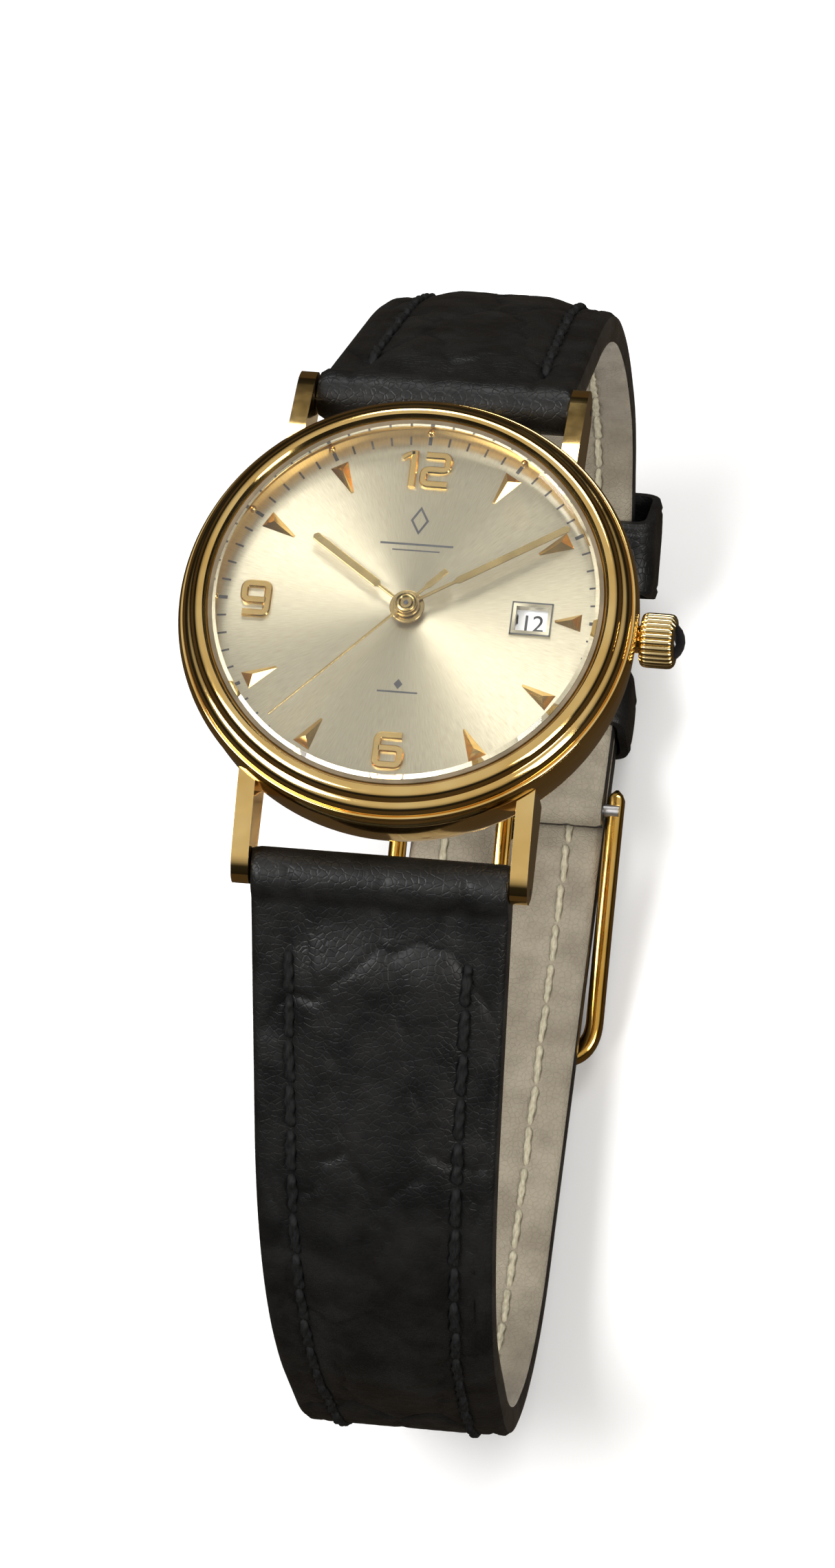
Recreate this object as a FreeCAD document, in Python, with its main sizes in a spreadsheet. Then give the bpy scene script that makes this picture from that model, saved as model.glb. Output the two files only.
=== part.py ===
"""Ladies' quartz wristwatch on a leather strap, buckled into its loop.

Millimetres. The origin is the centre of the case back's flat outer face, +Z comes out of the dial,
+Y points to 12 o'clock and +X to 3 o'clock, where the crown is. The strap hangs below the case.
"""
import FreeCAD, Part
import math
import os
import Sketcher

Vector = FreeCAD.Vector
X_AXIS = Vector(1, 0, 0)
Z_AXIS = Vector(0, 0, 1)

doc = FreeCAD.newDocument("wristwatch")

# ---------------------------------------------------------------- driving dimensions
SIZES = {
    "case_radius": 12.28, "case_bottom_radius": 11.55, "case_bore": 11.0, "case_bottom": 0.5,
    "shoulder_height": 4.55, "neck_radius": 11.44, "neck_top": 5.56,
    "bezel_radius": 12.54, "bezel_middle_ring": 12.2, "bezel_inner_ring": 11.7, "bezel_lip": 10.76,
    "bezel_top": 6.5,
    "lug_gap": 14.2, "lug_thickness": 0.95, "lug_reach": 15.2, "bar_distance": 14.3,
    "bar_height": 1.0, "bar_radius": 0.6, "tip_radius": 0.35, "lug_hole_radius": 0.4,
    "back_radius": 11.5, "back_plug_radius": 10.94, "back_thickness": 0.55,
    "crystal_radius": 10.5, "crystal_bottom": 5.62, "crystal_top": 6.4,
    "dial_top": 4.5, "dial_thickness": 0.4, "dial_radius": 10.93, "dial_hole": 0.75,
    "window_middle": 6.74, "window_length": 1.75, "window_width": 1.42,
    "movement_radius": 9.4, "plate_bottom": 2.5, "plate_top": 3.55,
    "crown_axis_height": 3.2, "crown_start": 12.62, "crown_end": 14.5, "crown_radius": 1.5,
    "tube_radius": 0.75, "stem_radius": 0.38,
    "hour_hand_height": 4.95, "minute_hand_height": 5.2, "second_hand_height": 5.42,
    "hand_thickness": 0.1,
    "strap_width": 14.0, "buckle_strap_width": 11.5, "strap_thickness": 1.9, "lining_thickness": 0.6,
    "padding_rise": 0.8, "roll_radius": 1.4, "roll_bore": 0.7,
    "layer_spacing": 2.1, "bottom_slope": 2.5,
    "buckle_bar_y": 10.0, "buckle_width": 14.0, "buckle_bar_radius": 0.4,
}

sheet = doc.addObject("Spreadsheet::Sheet", "Sizes")
for row, (alias, amount) in enumerate(SIZES.items(), start=1):
    sheet.set(f"A{row}", alias)
    sheet.set(f"B{row}", str(amount))
    sheet.setAlias(f"B{row}", alias)
doc.recompute()


class Size:
    """A length that knows both its value and the sheet expression it comes from."""

    def __init__(self, value, text):
        self.value = value
        self.text = text

    def combine(self, other, sign, value):
        other_text = other.text if isinstance(other, Size) else repr(other)
        return Size(value, f"({self.text} {sign} {other_text})")

    def __add__(self, other):
        return self.combine(other, "+", self.value + number(other))

    def __sub__(self, other):
        return self.combine(other, "-", self.value - number(other))

    def __mul__(self, other):
        return self.combine(other, "*", self.value * number(other))

    def __truediv__(self, other):
        return self.combine(other, "/", self.value / number(other))

    def __neg__(self):
        return Size(-self.value, f"(0 - {self.text})")


def number(size):
    return size.value if isinstance(size, Size) else float(size)


def size(alias):
    return Size(float(sheet.get(alias)), f"Sizes.{alias}")


def mm(alias):
    return float(sheet.get(alias))


# ---------------------------------------------------------------- helpers for bodies
def bind(thing, prop, amount):
    """Set a property, and tie it to the sheet when the amount comes from there."""
    if isinstance(amount, Size):
        thing.setExpression(prop, amount.text)
    else:
        setattr(thing, prop, amount)


def new_body(label):
    body = doc.addObject("PartDesign::Body", label)
    body.Label = label
    return body


def datum(body, role):
    return next(item for item in body.Origin.OriginFeatures if item.Role == role)


def pin_point(sketch, geometry, vertex, x, y):
    """Fix one point of a sketch at (x, y)."""
    for kind, place, axis in (("DistanceX", x, -2), ("DistanceY", y, -1)):
        value = number(place)
        if abs(value) < 1e-9:
            sketch.addConstraint(Sketcher.Constraint("PointOnObject", geometry, vertex, axis))
            continue
        ends = (-1, 1, geometry, vertex) if value > 0 else (geometry, vertex, -1, 1)
        index = sketch.addConstraint(Sketcher.Constraint(kind, *ends, abs(value)))
        if isinstance(place, Size):
            text = place.text if value > 0 else f"0 - {place.text}"
            sketch.setExpression(f"Constraints[{index}]", text)


def arc_through(start, end, radius):
    """Minor arc from start to end; a positive radius turns left, a negative one right."""
    chord = end - start
    rise = abs(radius) - math.sqrt(max(radius * radius - chord.Length ** 2 / 4, 0))
    left = Vector(-chord.y, chord.x, 0).normalize()
    middle = (start + end) * 0.5 - left * math.copysign(rise, radius)
    return Part.Arc(start, middle, end)


def draw_outline(sketch, outline):
    """Closed outline of (x, y) corners; a third number makes the edge to that corner an arc."""
    corners = [Vector(number(corner[0]), number(corner[1]), 0) for corner in outline]
    ends = []
    for index, corner in enumerate(outline):
        start, end = corners[index - 1], corners[index]
        if len(corner) == 3:
            edge = sketch.addGeometry(arc_through(start, end, number(corner[2])), False)
            forward = (sketch.Geometry[edge].StartPoint - start).Length < 1e-6
            sketch.addConstraint(Sketcher.Constraint("Radius", edge, abs(number(corner[2]))))
        else:
            edge = sketch.addGeometry(Part.LineSegment(start, end), False)
            forward = True
        ends.append((edge, 1, 2) if forward else (edge, 2, 1))
    for index, corner in enumerate(outline):
        edge, _, finish = ends[index]
        following, begin, _ = ends[(index + 1) % len(ends)]
        sketch.addConstraint(Sketcher.Constraint("Coincident", edge, finish, following, begin))
        pin_point(sketch, edge, finish, corner[0], corner[1])


def draw_circle(sketch, x, y, radius):
    centre = Vector(number(x), number(y), 0)
    edge = sketch.addGeometry(Part.Circle(centre, Z_AXIS, number(radius)), False)
    index = sketch.addConstraint(Sketcher.Constraint("Radius", edge, number(radius)))
    if isinstance(radius, Size):
        sketch.setExpression(f"Constraints[{index}]", radius.text)
    pin_point(sketch, edge, 3, x, y)


def sketch_on(body, role, outlines=(), circles=(), lift=0.0):
    sketch = body.newObject("Sketcher::SketchObject", body.Name + "_sketch")
    sketch.AttachmentSupport = (datum(body, role), [""])
    sketch.MapMode = "FlatFace"
    sketch.AttachmentOffset = FreeCAD.Placement(Vector(0, 0, number(lift)), FreeCAD.Rotation())
    if isinstance(lift, Size):
        sketch.setExpression("AttachmentOffset.Base.z", lift.text)
    for outline in outlines:
        draw_outline(sketch, outline)
    for circle in circles:
        draw_circle(sketch, *circle)
    return sketch


def revolve(body, outline, axis):
    feature = body.newObject("PartDesign::Revolution", body.Name + "_turned")
    feature.Profile = sketch_on(body, "XZ_Plane", [outline])
    feature.ReferenceAxis = (feature.Profile[0], [axis])
    feature.Angle = 360
    return feature


def turned(label, outline):
    """A piece turned about Z, from its (radius, height) section."""
    body = new_body(label)
    revolve(body, outline, "V_Axis")
    return body


def turned_on_stem(label, outline):
    """A piece turned about the crown's axis, from its (x, radius) section."""
    body = new_body(label)
    revolve(body, outline, "H_Axis")
    body.setExpression("Placement.Base.z", "Sizes.crown_axis_height")
    return body


def pad(body, role, length, outlines=(), circles=(), lift=0.0):
    feature = body.newObject("PartDesign::Pad", body.Name + "_pad")
    feature.Profile = sketch_on(body, role, outlines, circles, lift)
    bind(feature, "Length", length)
    return feature


def cut_through(body, role, outlines=(), circles=()):
    feature = body.newObject("PartDesign::Pocket", body.Name + "_cut")
    feature.Profile = sketch_on(body, role, outlines, circles)
    feature.Type = "ThroughAll"
    feature.SideType = "Symmetric"
    return feature


def cut_towards_normal(body, role, length, circles, lift=0.0):
    feature = body.newObject("PartDesign::Pocket", body.Name + "_bore")
    feature.Profile = sketch_on(body, role, (), circles, lift)
    feature.Reversed = True
    bind(feature, "Length", length)
    return feature


def repeat_round(body, feature, role, count):
    pattern = body.newObject("PartDesign::PolarPattern", body.Name + "_pattern")
    pattern.Originals = [feature]
    pattern.Axis = (datum(body, role), [""])
    pattern.Angle = 360
    pattern.Occurrences = count
    body.Tip = pattern


def rectangle(x_low, y_low, x_high, y_high):
    return [(x_low, y_low), (x_high, y_low), (x_high, y_high), (x_low, y_high)]


def plain(label, shape, placement=None):
    """A piece whose shape is worked out by its own function."""
    piece = doc.addObject("Part::Feature", label)
    piece.Label = label
    piece.Shape = shape
    if placement:
        piece.Placement = placement
    return piece


def fuse(shapes):
    return shapes[0].fuse(shapes[1:]).removeSplitter() if len(shapes) > 1 else shapes[0]


def cylinder(radius, bottom, top, x=0.0, y=0.0):
    return Part.makeCylinder(radius, top - bottom, Vector(x, y, bottom))


def cylinder_x(radius, x_low, x_high, y, z):
    return Part.makeCylinder(radius, x_high - x_low, Vector(x_low, y, z), X_AXIS)


def block(x_low, x_high, y_low, y_high, z_low, z_high):
    return Part.makeBox(x_high - x_low, y_high - y_low, z_high - z_low, Vector(x_low, y_low, z_low))


def clock_turn(minutes):
    """Placement that turns a piece drawn towards 12 o'clock to its minute on the dial."""
    return FreeCAD.Placement(Vector(), FreeCAD.Rotation(Z_AXIS, -6 * minutes))


# ---------------------------------------------------------------- case, bezel, back
def case_middle():
    body = turned("case_middle", [
        (size("case_bore") + 0.3, size("case_bottom")), (size("case_bottom_radius"), size("case_bottom")),
        (size("case_radius"), size("shoulder_height"), 9.0),
        (size("neck_radius"), size("shoulder_height")), (size("neck_radius"), size("neck_top")),
        (size("case_bore"), size("neck_top")), (size("case_bore"), size("case_bottom") + 0.26),
        (size("case_bore") + 0.3, size("case_bottom") + 0.26),
    ])
    reach = size("lug_reach")
    upper = [(8.8, 0.75), (reach - 1.0, 0.15), (reach, 1.15, 1.0), (reach, 2.05), (reach - 0.85, 2.9, 0.85),
             (8.8, 4.3)]
    lower = mirrored_outline(upper)
    lugs = pad(body, "YZ_Plane", size("lug_thickness"), [upper, lower], lift=size("lug_gap") / 2)
    mirror = body.newObject("PartDesign::Mirrored", "case_lugs_mirrored")
    mirror.Originals = [lugs]
    mirror.MirrorPlane = (datum(body, "YZ_Plane"), [""])
    body.Tip = mirror
    bars = [(size("bar_distance"), size("bar_height"), size("lug_hole_radius")),
            (-size("bar_distance"), size("bar_height"), size("lug_hole_radius"))]
    cut_through(body, "YZ_Plane", circles=bars)
    cut_towards_normal(body, "YZ_Plane", 14.0, [(0, size("crown_axis_height"), size("tube_radius") + 0.02)])
    return body


def mirrored_outline(outline):
    """The same outline on the other side of the vertical axis, still running the same way round."""
    mirrored = []
    for index in range(len(outline)):
        corner = outline[-1 - index]
        source = outline[-index] if index else outline[0]
        arc = (source[2],) if len(source) == 3 else ()
        x = -corner[0] if isinstance(corner[0], Size) else -float(corner[0])
        mirrored.append((x, corner[1], *arc))
    return mirrored


def bezel():
    outer, middle, inner = size("bezel_radius"), size("bezel_middle_ring"), size("bezel_inner_ring")
    lip, top = size("bezel_lip"), size("bezel_top")
    return turned("bezel", [
        (lip, 5.6), (size("neck_radius") + 0.03, 5.6), (size("neck_radius") + 0.03, size("shoulder_height")),
        (outer - 0.18, size("shoulder_height")), (outer, size("shoulder_height") + 0.18, 0.18),
        (outer, 4.95), (outer - 0.2, 5.15, 0.2), (middle, 5.15), (middle, 5.45), (middle - 0.45, 5.9, 0.45),
        (inner, 5.9), (inner, top - 0.4), (inner - 0.4, top, 0.4), (inner - 0.62, top - 0.07, 0.35),
        (lip, top - 0.38),
    ])


def case_back():
    edge, plug, plate = size("back_radius"), size("back_plug_radius"), size("back_thickness")
    body = turned("case_back", [
        (0, 0), (edge - 0.15, 0), (edge, 0.15, 0.15), (edge, 0.48), (plug, 0.48), (plug, 0.95),
        (plug - 0.54, 0.95), (plug - 0.54, plate), (0, plate),
    ])
    notch = body.newObject("PartDesign::Pocket", "case_back_notch")
    notch.Profile = sketch_on(body, "XY_Plane", (), [(5.9, -10.22, 0.6)])
    notch.Reversed = True
    notch.Length = 0.28
    return body


def crystal_and_seals():
    radius, bottom, top = size("crystal_radius"), size("crystal_bottom"), size("crystal_top")
    turned("crystal", [(0, bottom), (radius, bottom), (radius, top - 0.2), (radius - 0.2, top), (0, top)])
    turned("crystal_gasket", rectangle(radius + 0.02, bottom, radius + 0.24, top - 0.2))
    turned("case_back_gasket", rectangle(size("case_bore") + 0.03, size("case_bottom") + 0.01,
                                         size("case_bore") + 0.27, size("case_bottom") + 0.23))


def flange_ring():
    wall = size("dial_radius") - 0.09
    return turned("flange_ring", [
        (wall, size("dial_top") + 0.02), (wall + 0.13, size("dial_top") + 0.02), (wall + 0.13, 5.58),
        (wall - 0.34, 5.58), (wall - 0.34, 5.5), (wall - 0.06, 5.36),
    ])


def movement_holder():
    body = turned("movement_holder", rectangle(size("movement_radius") + 0.04, 1.0, 10.92, 4.08))
    cut_towards_normal(body, "YZ_Plane", 14.0, [(0, size("crown_axis_height"), 0.8)])
    return body


# ---------------------------------------------------------------- crown and stem
def crown_group():
    start, end, radius = size("crown_start"), size("crown_end"), size("crown_radius")
    tube, stem = size("tube_radius"), size("stem_radius")
    turned_on_stem("crown_tube", rectangle(10.2, stem + 0.07, 13.2, tube))
    crown = turned_on_stem("crown", [
        (start, 1.0), (13.5, 1.0), (13.5, stem + 0.02), (13.92, stem + 0.02), (13.92, 0), (end - 0.22, 0),
        (end - 0.22, 1.03), (end, 1.03), (end, radius - 0.26), (end - 0.2, radius), (start + 0.12, radius),
        (start, radius - 0.12),
    ])
    flute = cut_through(crown, "YZ_Plane", circles=[(0, radius + 0.02, 0.15)])
    repeat_round(crown, flute, "X_Axis", 20)
    turned_on_stem("crown_cabochon", [
        (end - 0.2, 0), (end + 0.52, 0), (end + 0.04, 1.0, 1.25), (end - 0.2, 1.0)])
    turned_on_stem("crown_gasket", rectangle(12.8, tube + 0.03, 13.1, 0.98))
    turned_on_stem("winding_stem", [
        (4.3, 0), (13.9, 0), (13.9, stem), (10.0, stem), (10.0, 0.32), (7.0, 0.32), (7.0, 0.2), (6.6, 0.2),
        (6.6, 0.32), (4.5, 0.32), (4.3, 0.2),
    ])
    pinion = turned_on_stem("sliding_pinion", rectangle(4.55, 0.36, 5.45, 0.72))
    groove = cut_through(pinion, "YZ_Plane", circles=[(0, 0.75, 0.12)])
    repeat_round(pinion, groove, "X_Axis", 10)


# ---------------------------------------------------------------- dial and what is on it
def dial():
    middle, half_length, half_width = size("window_middle"), size("window_length") / 2, size("window_width") / 2
    body = new_body("dial")
    pad(body, "XY_Plane", size("dial_thickness"), circles=[(0, 0, size("dial_radius"))],
        lift=size("dial_top") - size("dial_thickness"))
    cut_through(body, "XY_Plane", [rectangle(middle - half_length, -half_width, middle + half_length, half_width)],
                [(0, 0, size("dial_hole"))])
    frame = new_body("date_window_frame")
    pad(frame, "XY_Plane", 0.1, [
        rectangle(middle - half_length - 0.25, -half_width - 0.27, middle + half_length + 0.25, half_width + 0.27),
        rectangle(middle - half_length, -half_width, middle + half_length, half_width)], lift=size("dial_top"))


NUMERAL_HEIGHT = 2.15
NUMERAL_RISE = 0.22
STROKE = 0.42


def numeral_bars(digit, width):
    """Bars of a flat block numeral, as (x_low, y_low, x_high, y_high) from its lower left corner."""
    tall, stroke = NUMERAL_HEIGHT, STROKE
    middle = (tall - stroke) / 2
    left = (0, 0, stroke, tall)
    right = (width - stroke, 0, width, tall)
    rows = {name: (0, y, width, y + stroke) for name, y in (("low", 0), ("mid", middle), ("top", tall - stroke))}
    lower_left = (0, 0, stroke, middle + stroke)
    upper_right = (width - stroke, middle, width, tall)
    upper_left = (0, middle, stroke, tall)
    lower_right = (width - stroke, 0, width, middle + stroke)
    return {
        "1": [(width - stroke - 0.12, 0, width - 0.12, tall), (0, tall - stroke, width - 0.12, tall)],
        "2": [rows["low"], rows["mid"], rows["top"], lower_left, upper_right],
        "6": [rows["low"], rows["mid"], rows["top"], left, lower_right],
        "9": [rows["low"], rows["mid"], rows["top"], right, upper_left],
    }[digit]


def numeral(label, digits, centre_x, centre_y):
    """Applied numeral: one solid for each digit, standing on the dial."""
    widths = {"1": 0.95, "2": 1.75, "6": 1.85, "9": 1.85}
    gap = 0.2
    total = sum(widths[digit] for digit in digits) + gap * (len(digits) - 1)
    left = centre_x - total / 2
    solids = []
    for digit in digits:
        low = centre_y - NUMERAL_HEIGHT / 2
        bars = [block(left + x0, left + x1, low + y0, low + y1, mm("dial_top"), mm("dial_top") + NUMERAL_RISE)
                for x0, y0, x1, y1 in numeral_bars(digit, widths[digit])]
        solids.append(fuse(bars))
        left += widths[digit] + gap
    plain(label, Part.makeCompound(solids) if len(solids) > 1 else solids[0])


def dart(tip_radius, outer_radius):
    """Faceted marker towards 12 o'clock: narrow at its inner tip, with a ridge up to a peak."""
    floor, half_tip, half_end = mm("dial_top"), 0.07, 0.52
    tip_left, tip_right = Vector(-half_tip, tip_radius, floor), Vector(half_tip, tip_radius, floor)
    end_left, end_right = Vector(-half_end, outer_radius, floor), Vector(half_end, outer_radius, floor)
    ridge = Vector(0, tip_radius, floor + 0.12)
    peak = Vector(0, outer_radius - 0.5, floor + 0.36)
    facets = [(tip_left, tip_right, end_right, end_left), (tip_left, tip_right, ridge),
              (tip_right, end_right, peak), (tip_right, peak, ridge), (end_right, end_left, peak),
              (end_left, tip_left, peak), (tip_left, ridge, peak)]
    faces = [Part.Face(Part.makePolygon([*corners, corners[0]])) for corners in facets]
    solid = Part.makeSolid(Part.makeShell(faces))
    if solid.Volume < 0:
        solid.reverse()
    return solid


def markers_and_dots():
    darts = []
    for hour in (1, 2, 3, 4, 5, 7, 8, 10, 11):
        solid = dart(8.02, 9.45) if hour == 3 else dart(7.75, 9.6)
        solid.rotate(Vector(), Z_AXIS, -30 * hour)
        darts.append(solid)
    plain("hour_markers", Part.makeCompound(darts))
    dots = []
    for hour in range(12):
        stud = cylinder(0.2, mm("dial_top"), mm("dial_top") + 0.08, 0, 10.6)
        cap = Part.makeSphere(0.2, Vector(0, 10.6, mm("dial_top") + 0.08))
        solid = stud.fuse(cap.common(cylinder(0.3, mm("dial_top") + 0.04, mm("dial_top") + 0.4, 0, 10.6)))
        solid.rotate(Vector(), Z_AXIS, -30 * hour)
        dots.append(solid)
    plain("minute_dots", Part.makeCompound(dots))


# ---------------------------------------------------------------- hands
MINUTE_SHOWN = 9.62
SECOND_SHOWN = 37.2
HOUR_SHOWN_MINUTES = 50 + MINUTE_SHOWN / 12


def hand(label, height, hub_radius, bore, outline, minutes):
    body = new_body(label)
    pad(body, "XY_Plane", size("hand_thickness"), [outline], lift=height)
    hub = body.newObject("PartDesign::Pad", label + "_hub")
    hub.Profile = sketch_on(body, "XY_Plane", (), [(0, 0, hub_radius)], lift=height)
    hub.Length = 0.16
    if bore:
        cut_through(body, "XY_Plane", circles=[(0, 0, bore)])
    body.Placement = clock_turn(minutes)
    return body


def hands():
    hand("hour_hand", size("hour_hand_height"), 0.95, 0.5,
         [(-0.09, 0.6), (0.09, 0.6), (0.09, 2.0), (0.24, 2.2), (0.24, 6.3), (0, 6.85), (-0.24, 6.3),
          (-0.24, 2.2), (-0.09, 2.0)], HOUR_SHOWN_MINUTES)
    hand("minute_hand", size("minute_hand_height"), 0.72, 0.24,
         [(-0.08, 0.4), (0.08, 0.4), (0.08, 2.9), (0.19, 3.1), (0.19, 9.3), (0, 9.85), (-0.19, 9.3),
          (-0.19, 3.1), (-0.08, 2.9)], MINUTE_SHOWN)
    hand("second_hand", size("second_hand_height"), 0.6, None,
         [(-0.15, -2.9), (0.15, -2.9), (0.15, -1.55), (0.06, -1.35), (0.035, 9.7), (-0.035, 9.7),
          (-0.06, -1.35), (-0.15, -1.55)], SECOND_SHOWN)


# ---------------------------------------------------------------- wheels
def gear(teeth, module, bottom, top, facing, mesh="tooth", bore=0.0):
    """Flat spur wheel with a tooth (or a gap) facing the given direction, in degrees."""
    pitch = 2 * math.pi / teeth
    pitch_radius = teeth * module / 2
    start = math.radians(facing) + (pitch / 2 if mesh == "gap" else 0)
    corners = []
    for tooth in range(teeth):
        middle = start + tooth * pitch
        for radius, share in ((pitch_radius - 1.1 * module, -0.3), (pitch_radius + 0.8 * module, -0.11),
                              (pitch_radius + 0.8 * module, 0.11), (pitch_radius - 1.1 * module, 0.3)):
            angle = middle + share * pitch
            corners.append(Vector(radius * math.cos(angle), radius * math.sin(angle), bottom))
    wheel = Part.Face(Part.makePolygon([*corners, corners[0]])).extrude(Vector(0, 0, top - bottom))
    return wheel.cut(cylinder(bore, bottom - 1, top + 1)) if bore else wheel


def polar(distance, degrees, origin=(0.0, 0.0)):
    angle = math.radians(degrees)
    return (origin[0] + distance * math.cos(angle), origin[1] + distance * math.sin(angle))


GOING_MODULE = 0.075
CENTRE_MODULE = 2 * 2.55 / 72
MOTION_MODULE = 0.08
HOUR_MODULE = 2 * 1.92 / 50
THIRD_ANGLE, INTERMEDIATE_ANGLE, ROTOR_ANGLE = -30, 60, 75
MINUTE_WHEEL_ANGLE, DATE_WHEEL_ANGLE = 120, 200
THIRD_CENTRE = polar(2.55, THIRD_ANGLE)
INTERMEDIATE_CENTRE = polar(2.7, INTERMEDIATE_ANGLE)
ROTOR_CENTRE = polar(2.1, ROTOR_ANGLE, INTERMEDIATE_CENTRE)
MINUTE_WHEEL_CENTRE = polar(1.92, MINUTE_WHEEL_ANGLE)
DATE_WHEEL_CENTRE = polar(4.61, DATE_WHEEL_ANGLE)
PIVOT = 0.1


def placed(centre):
    return FreeCAD.Placement(Vector(centre[0], centre[1], 0), FreeCAD.Rotation())


def going_train():
    """Rotor to seconds wheel to third wheel to centre wheel: 30 to 1, then 60 to 1."""
    plain("seconds_wheel", fuse([
        gear(60, GOING_MODULE, 1.40, 1.52, INTERMEDIATE_ANGLE), gear(8, GOING_MODULE, 1.52, 2.0, THIRD_ANGLE),
        cylinder(PIVOT, 0.9, mm("second_hand_height"))]))
    plain("third_wheel", fuse([
        gear(60, GOING_MODULE, 1.78, 1.90, THIRD_ANGLE + 180, "gap"),
        gear(8, CENTRE_MODULE, 1.90, 2.4, THIRD_ANGLE + 180), cylinder(PIVOT, 0.9, 2.8)]), placed(THIRD_CENTRE))
    centre = fuse([gear(64, CENTRE_MODULE, 2.15, 2.27, THIRD_ANGLE, "gap"), cylinder(0.35, 2.15, 3.6),
                   gear(12, MOTION_MODULE, 3.6, 3.8, MINUTE_WHEEL_ANGLE), cylinder(0.35, 3.8, 5.06),
                   cylinder(0.23, 5.06, 5.36)])
    plain("centre_wheel", centre.cut(cylinder(0.15, 2.0, 5.5)))
    plain("intermediate_wheel", fuse([
        gear(48, GOING_MODULE, 1.15, 1.27, ROTOR_ANGLE),
        gear(12, GOING_MODULE, 1.27, 1.6, INTERMEDIATE_ANGLE + 180, "gap"), cylinder(PIVOT, 0.9, 2.8)]),
        placed(INTERMEDIATE_CENTRE))
    plain("rotor", fuse([
        gear(8, GOING_MODULE, 1.12, 1.34, ROTOR_ANGLE + 180, "gap"), cylinder(0.6, 1.5, 2.1),
        cylinder(PIVOT, 0.9, 2.8)]), placed(ROTOR_CENTRE))


def motion_work():
    """Centre wheel to minute wheel to hour wheel: 12 to 1, and on to the date wheel."""
    plain("minute_wheel", fuse([
        gear(36, MOTION_MODULE, 3.62, 3.74, MINUTE_WHEEL_ANGLE + 180, "gap"),
        gear(10, HOUR_MODULE, 3.74, 4.03, MINUTE_WHEEL_ANGLE + 180)]).cut(cylinder(0.2, 3, 5)),
        placed(MINUTE_WHEEL_CENTRE))
    hour = fuse([gear(40, HOUR_MODULE, 3.86, 3.98, MINUTE_WHEEL_ANGLE, "gap"),
                 gear(15, 0.1, 3.98, 4.06, DATE_WHEEL_ANGLE), cylinder(0.48, 3.86, 5.1),
                 cylinder(0.62, 4.05, 4.9)])
    plain("hour_wheel", hour.cut(cylinder(0.4, 3, 5.5)))
    date_wheel = gear(80, HOUR_MODULE, 3.87, 3.97, DATE_WHEEL_ANGLE + 180)
    finger = cylinder(0.1, 3.68, 3.9, *polar(1.1, DATE_WHEEL_ANGLE + 180))
    plain("date_wheel", fuse([date_wheel, finger]).cut(cylinder(0.2, 3, 5)), placed(DATE_WHEEL_CENTRE))


def date_ring():
    """Flat ring with 31 inner teeth, one for each day."""
    teeth, root, tip = 31, 5.95, 5.7
    corners = []
    for tooth in range(teeth):
        for radius, share in ((root, 0.0), (root, 0.45), (tip, 0.55), (tip, 0.8)):
            angle = 2 * math.pi * (tooth + share) / teeth
            corners.append(Vector(radius * math.cos(angle), radius * math.sin(angle), 3.62))
    hole = Part.Face(Part.makePolygon([*corners, corners[0]])).extrude(Vector(0, 0, 0.2))
    plain("date_ring", cylinder(7.95, 3.62, 3.82).cut(hole))
    post = polar(4.3, 262)
    arm_end = polar(5.5, 284.2)
    arm = Part.makeBox(math.dist(post, arm_end), 0.22, 0.16, Vector(0, -0.11, 3.63))
    arm.rotate(Vector(), Z_AXIS, math.degrees(math.atan2(arm_end[1] - post[1], arm_end[0] - post[0])))
    arm.translate(Vector(post[0], post[1], 0))
    plain("date_jumper", fuse([arm, cylinder(0.4, 3.57, 3.82, *post), cylinder(0.13, 3.63, 3.79, *arm_end)]))


# ---------------------------------------------------------------- movement
PLATE_SCREWS = ((-1.8, 2.6), (3.6, -4.4), (0.2, -4.0), (4.9, 1.6))
CLAMP_SCREWS = ((-8.2, -0.55), (-0.75, -8.2))


def main_plate():
    body = new_body("main_plate")
    pad(body, "XY_Plane", size("plate_top") - size("plate_bottom"), circles=[(0, 0, size("movement_radius"))],
        lift=size("plate_bottom"))
    holes = [(0, 0, 0.38), (6.8, -1.6, 0.24), (*ROTOR_CENTRE, 0.13), (*THIRD_CENTRE, 0.13),
             (*INTERMEDIATE_CENTRE, 0.13)]
    holes += [(x, y, 0.27) for x, y in PLATE_SCREWS + CLAMP_SCREWS]
    cut_through(body, "XY_Plane", [[(4.2, -0.85), (9.6, -0.85), (9.6, 0.85), (4.2, 0.85)]], holes)
    studs = body.newObject("PartDesign::Pad", "main_plate_studs")
    studs.Profile = sketch_on(body, "XY_Plane", (), [(*MINUTE_WHEEL_CENTRE, 0.15), (*DATE_WHEEL_CENTRE, 0.15)],
                              lift=size("plate_top") - 0.05)
    studs.Length = 0.5
    return body


def train_bridge():
    body = new_body("train_bridge")
    outline = [(-0.5, -5.0), (4.6, -5.1), (5.6, -2.0), (5.6, 2.2), (3.4, 5.1), (-2.4, 3.9), (-2.4, -0.6),
               (-0.5, -2.6)]
    pad(body, "XY_Plane", 0.25, [outline], lift=0.8)
    holes = [(0, 0, 0.13), (*ROTOR_CENTRE, 0.13), (*THIRD_CENTRE, 0.13), (*INTERMEDIATE_CENTRE, 0.13)]
    cut_through(body, "XY_Plane", circles=holes + [(x, y, 0.27) for x, y in PLATE_SCREWS])
    return body


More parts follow.
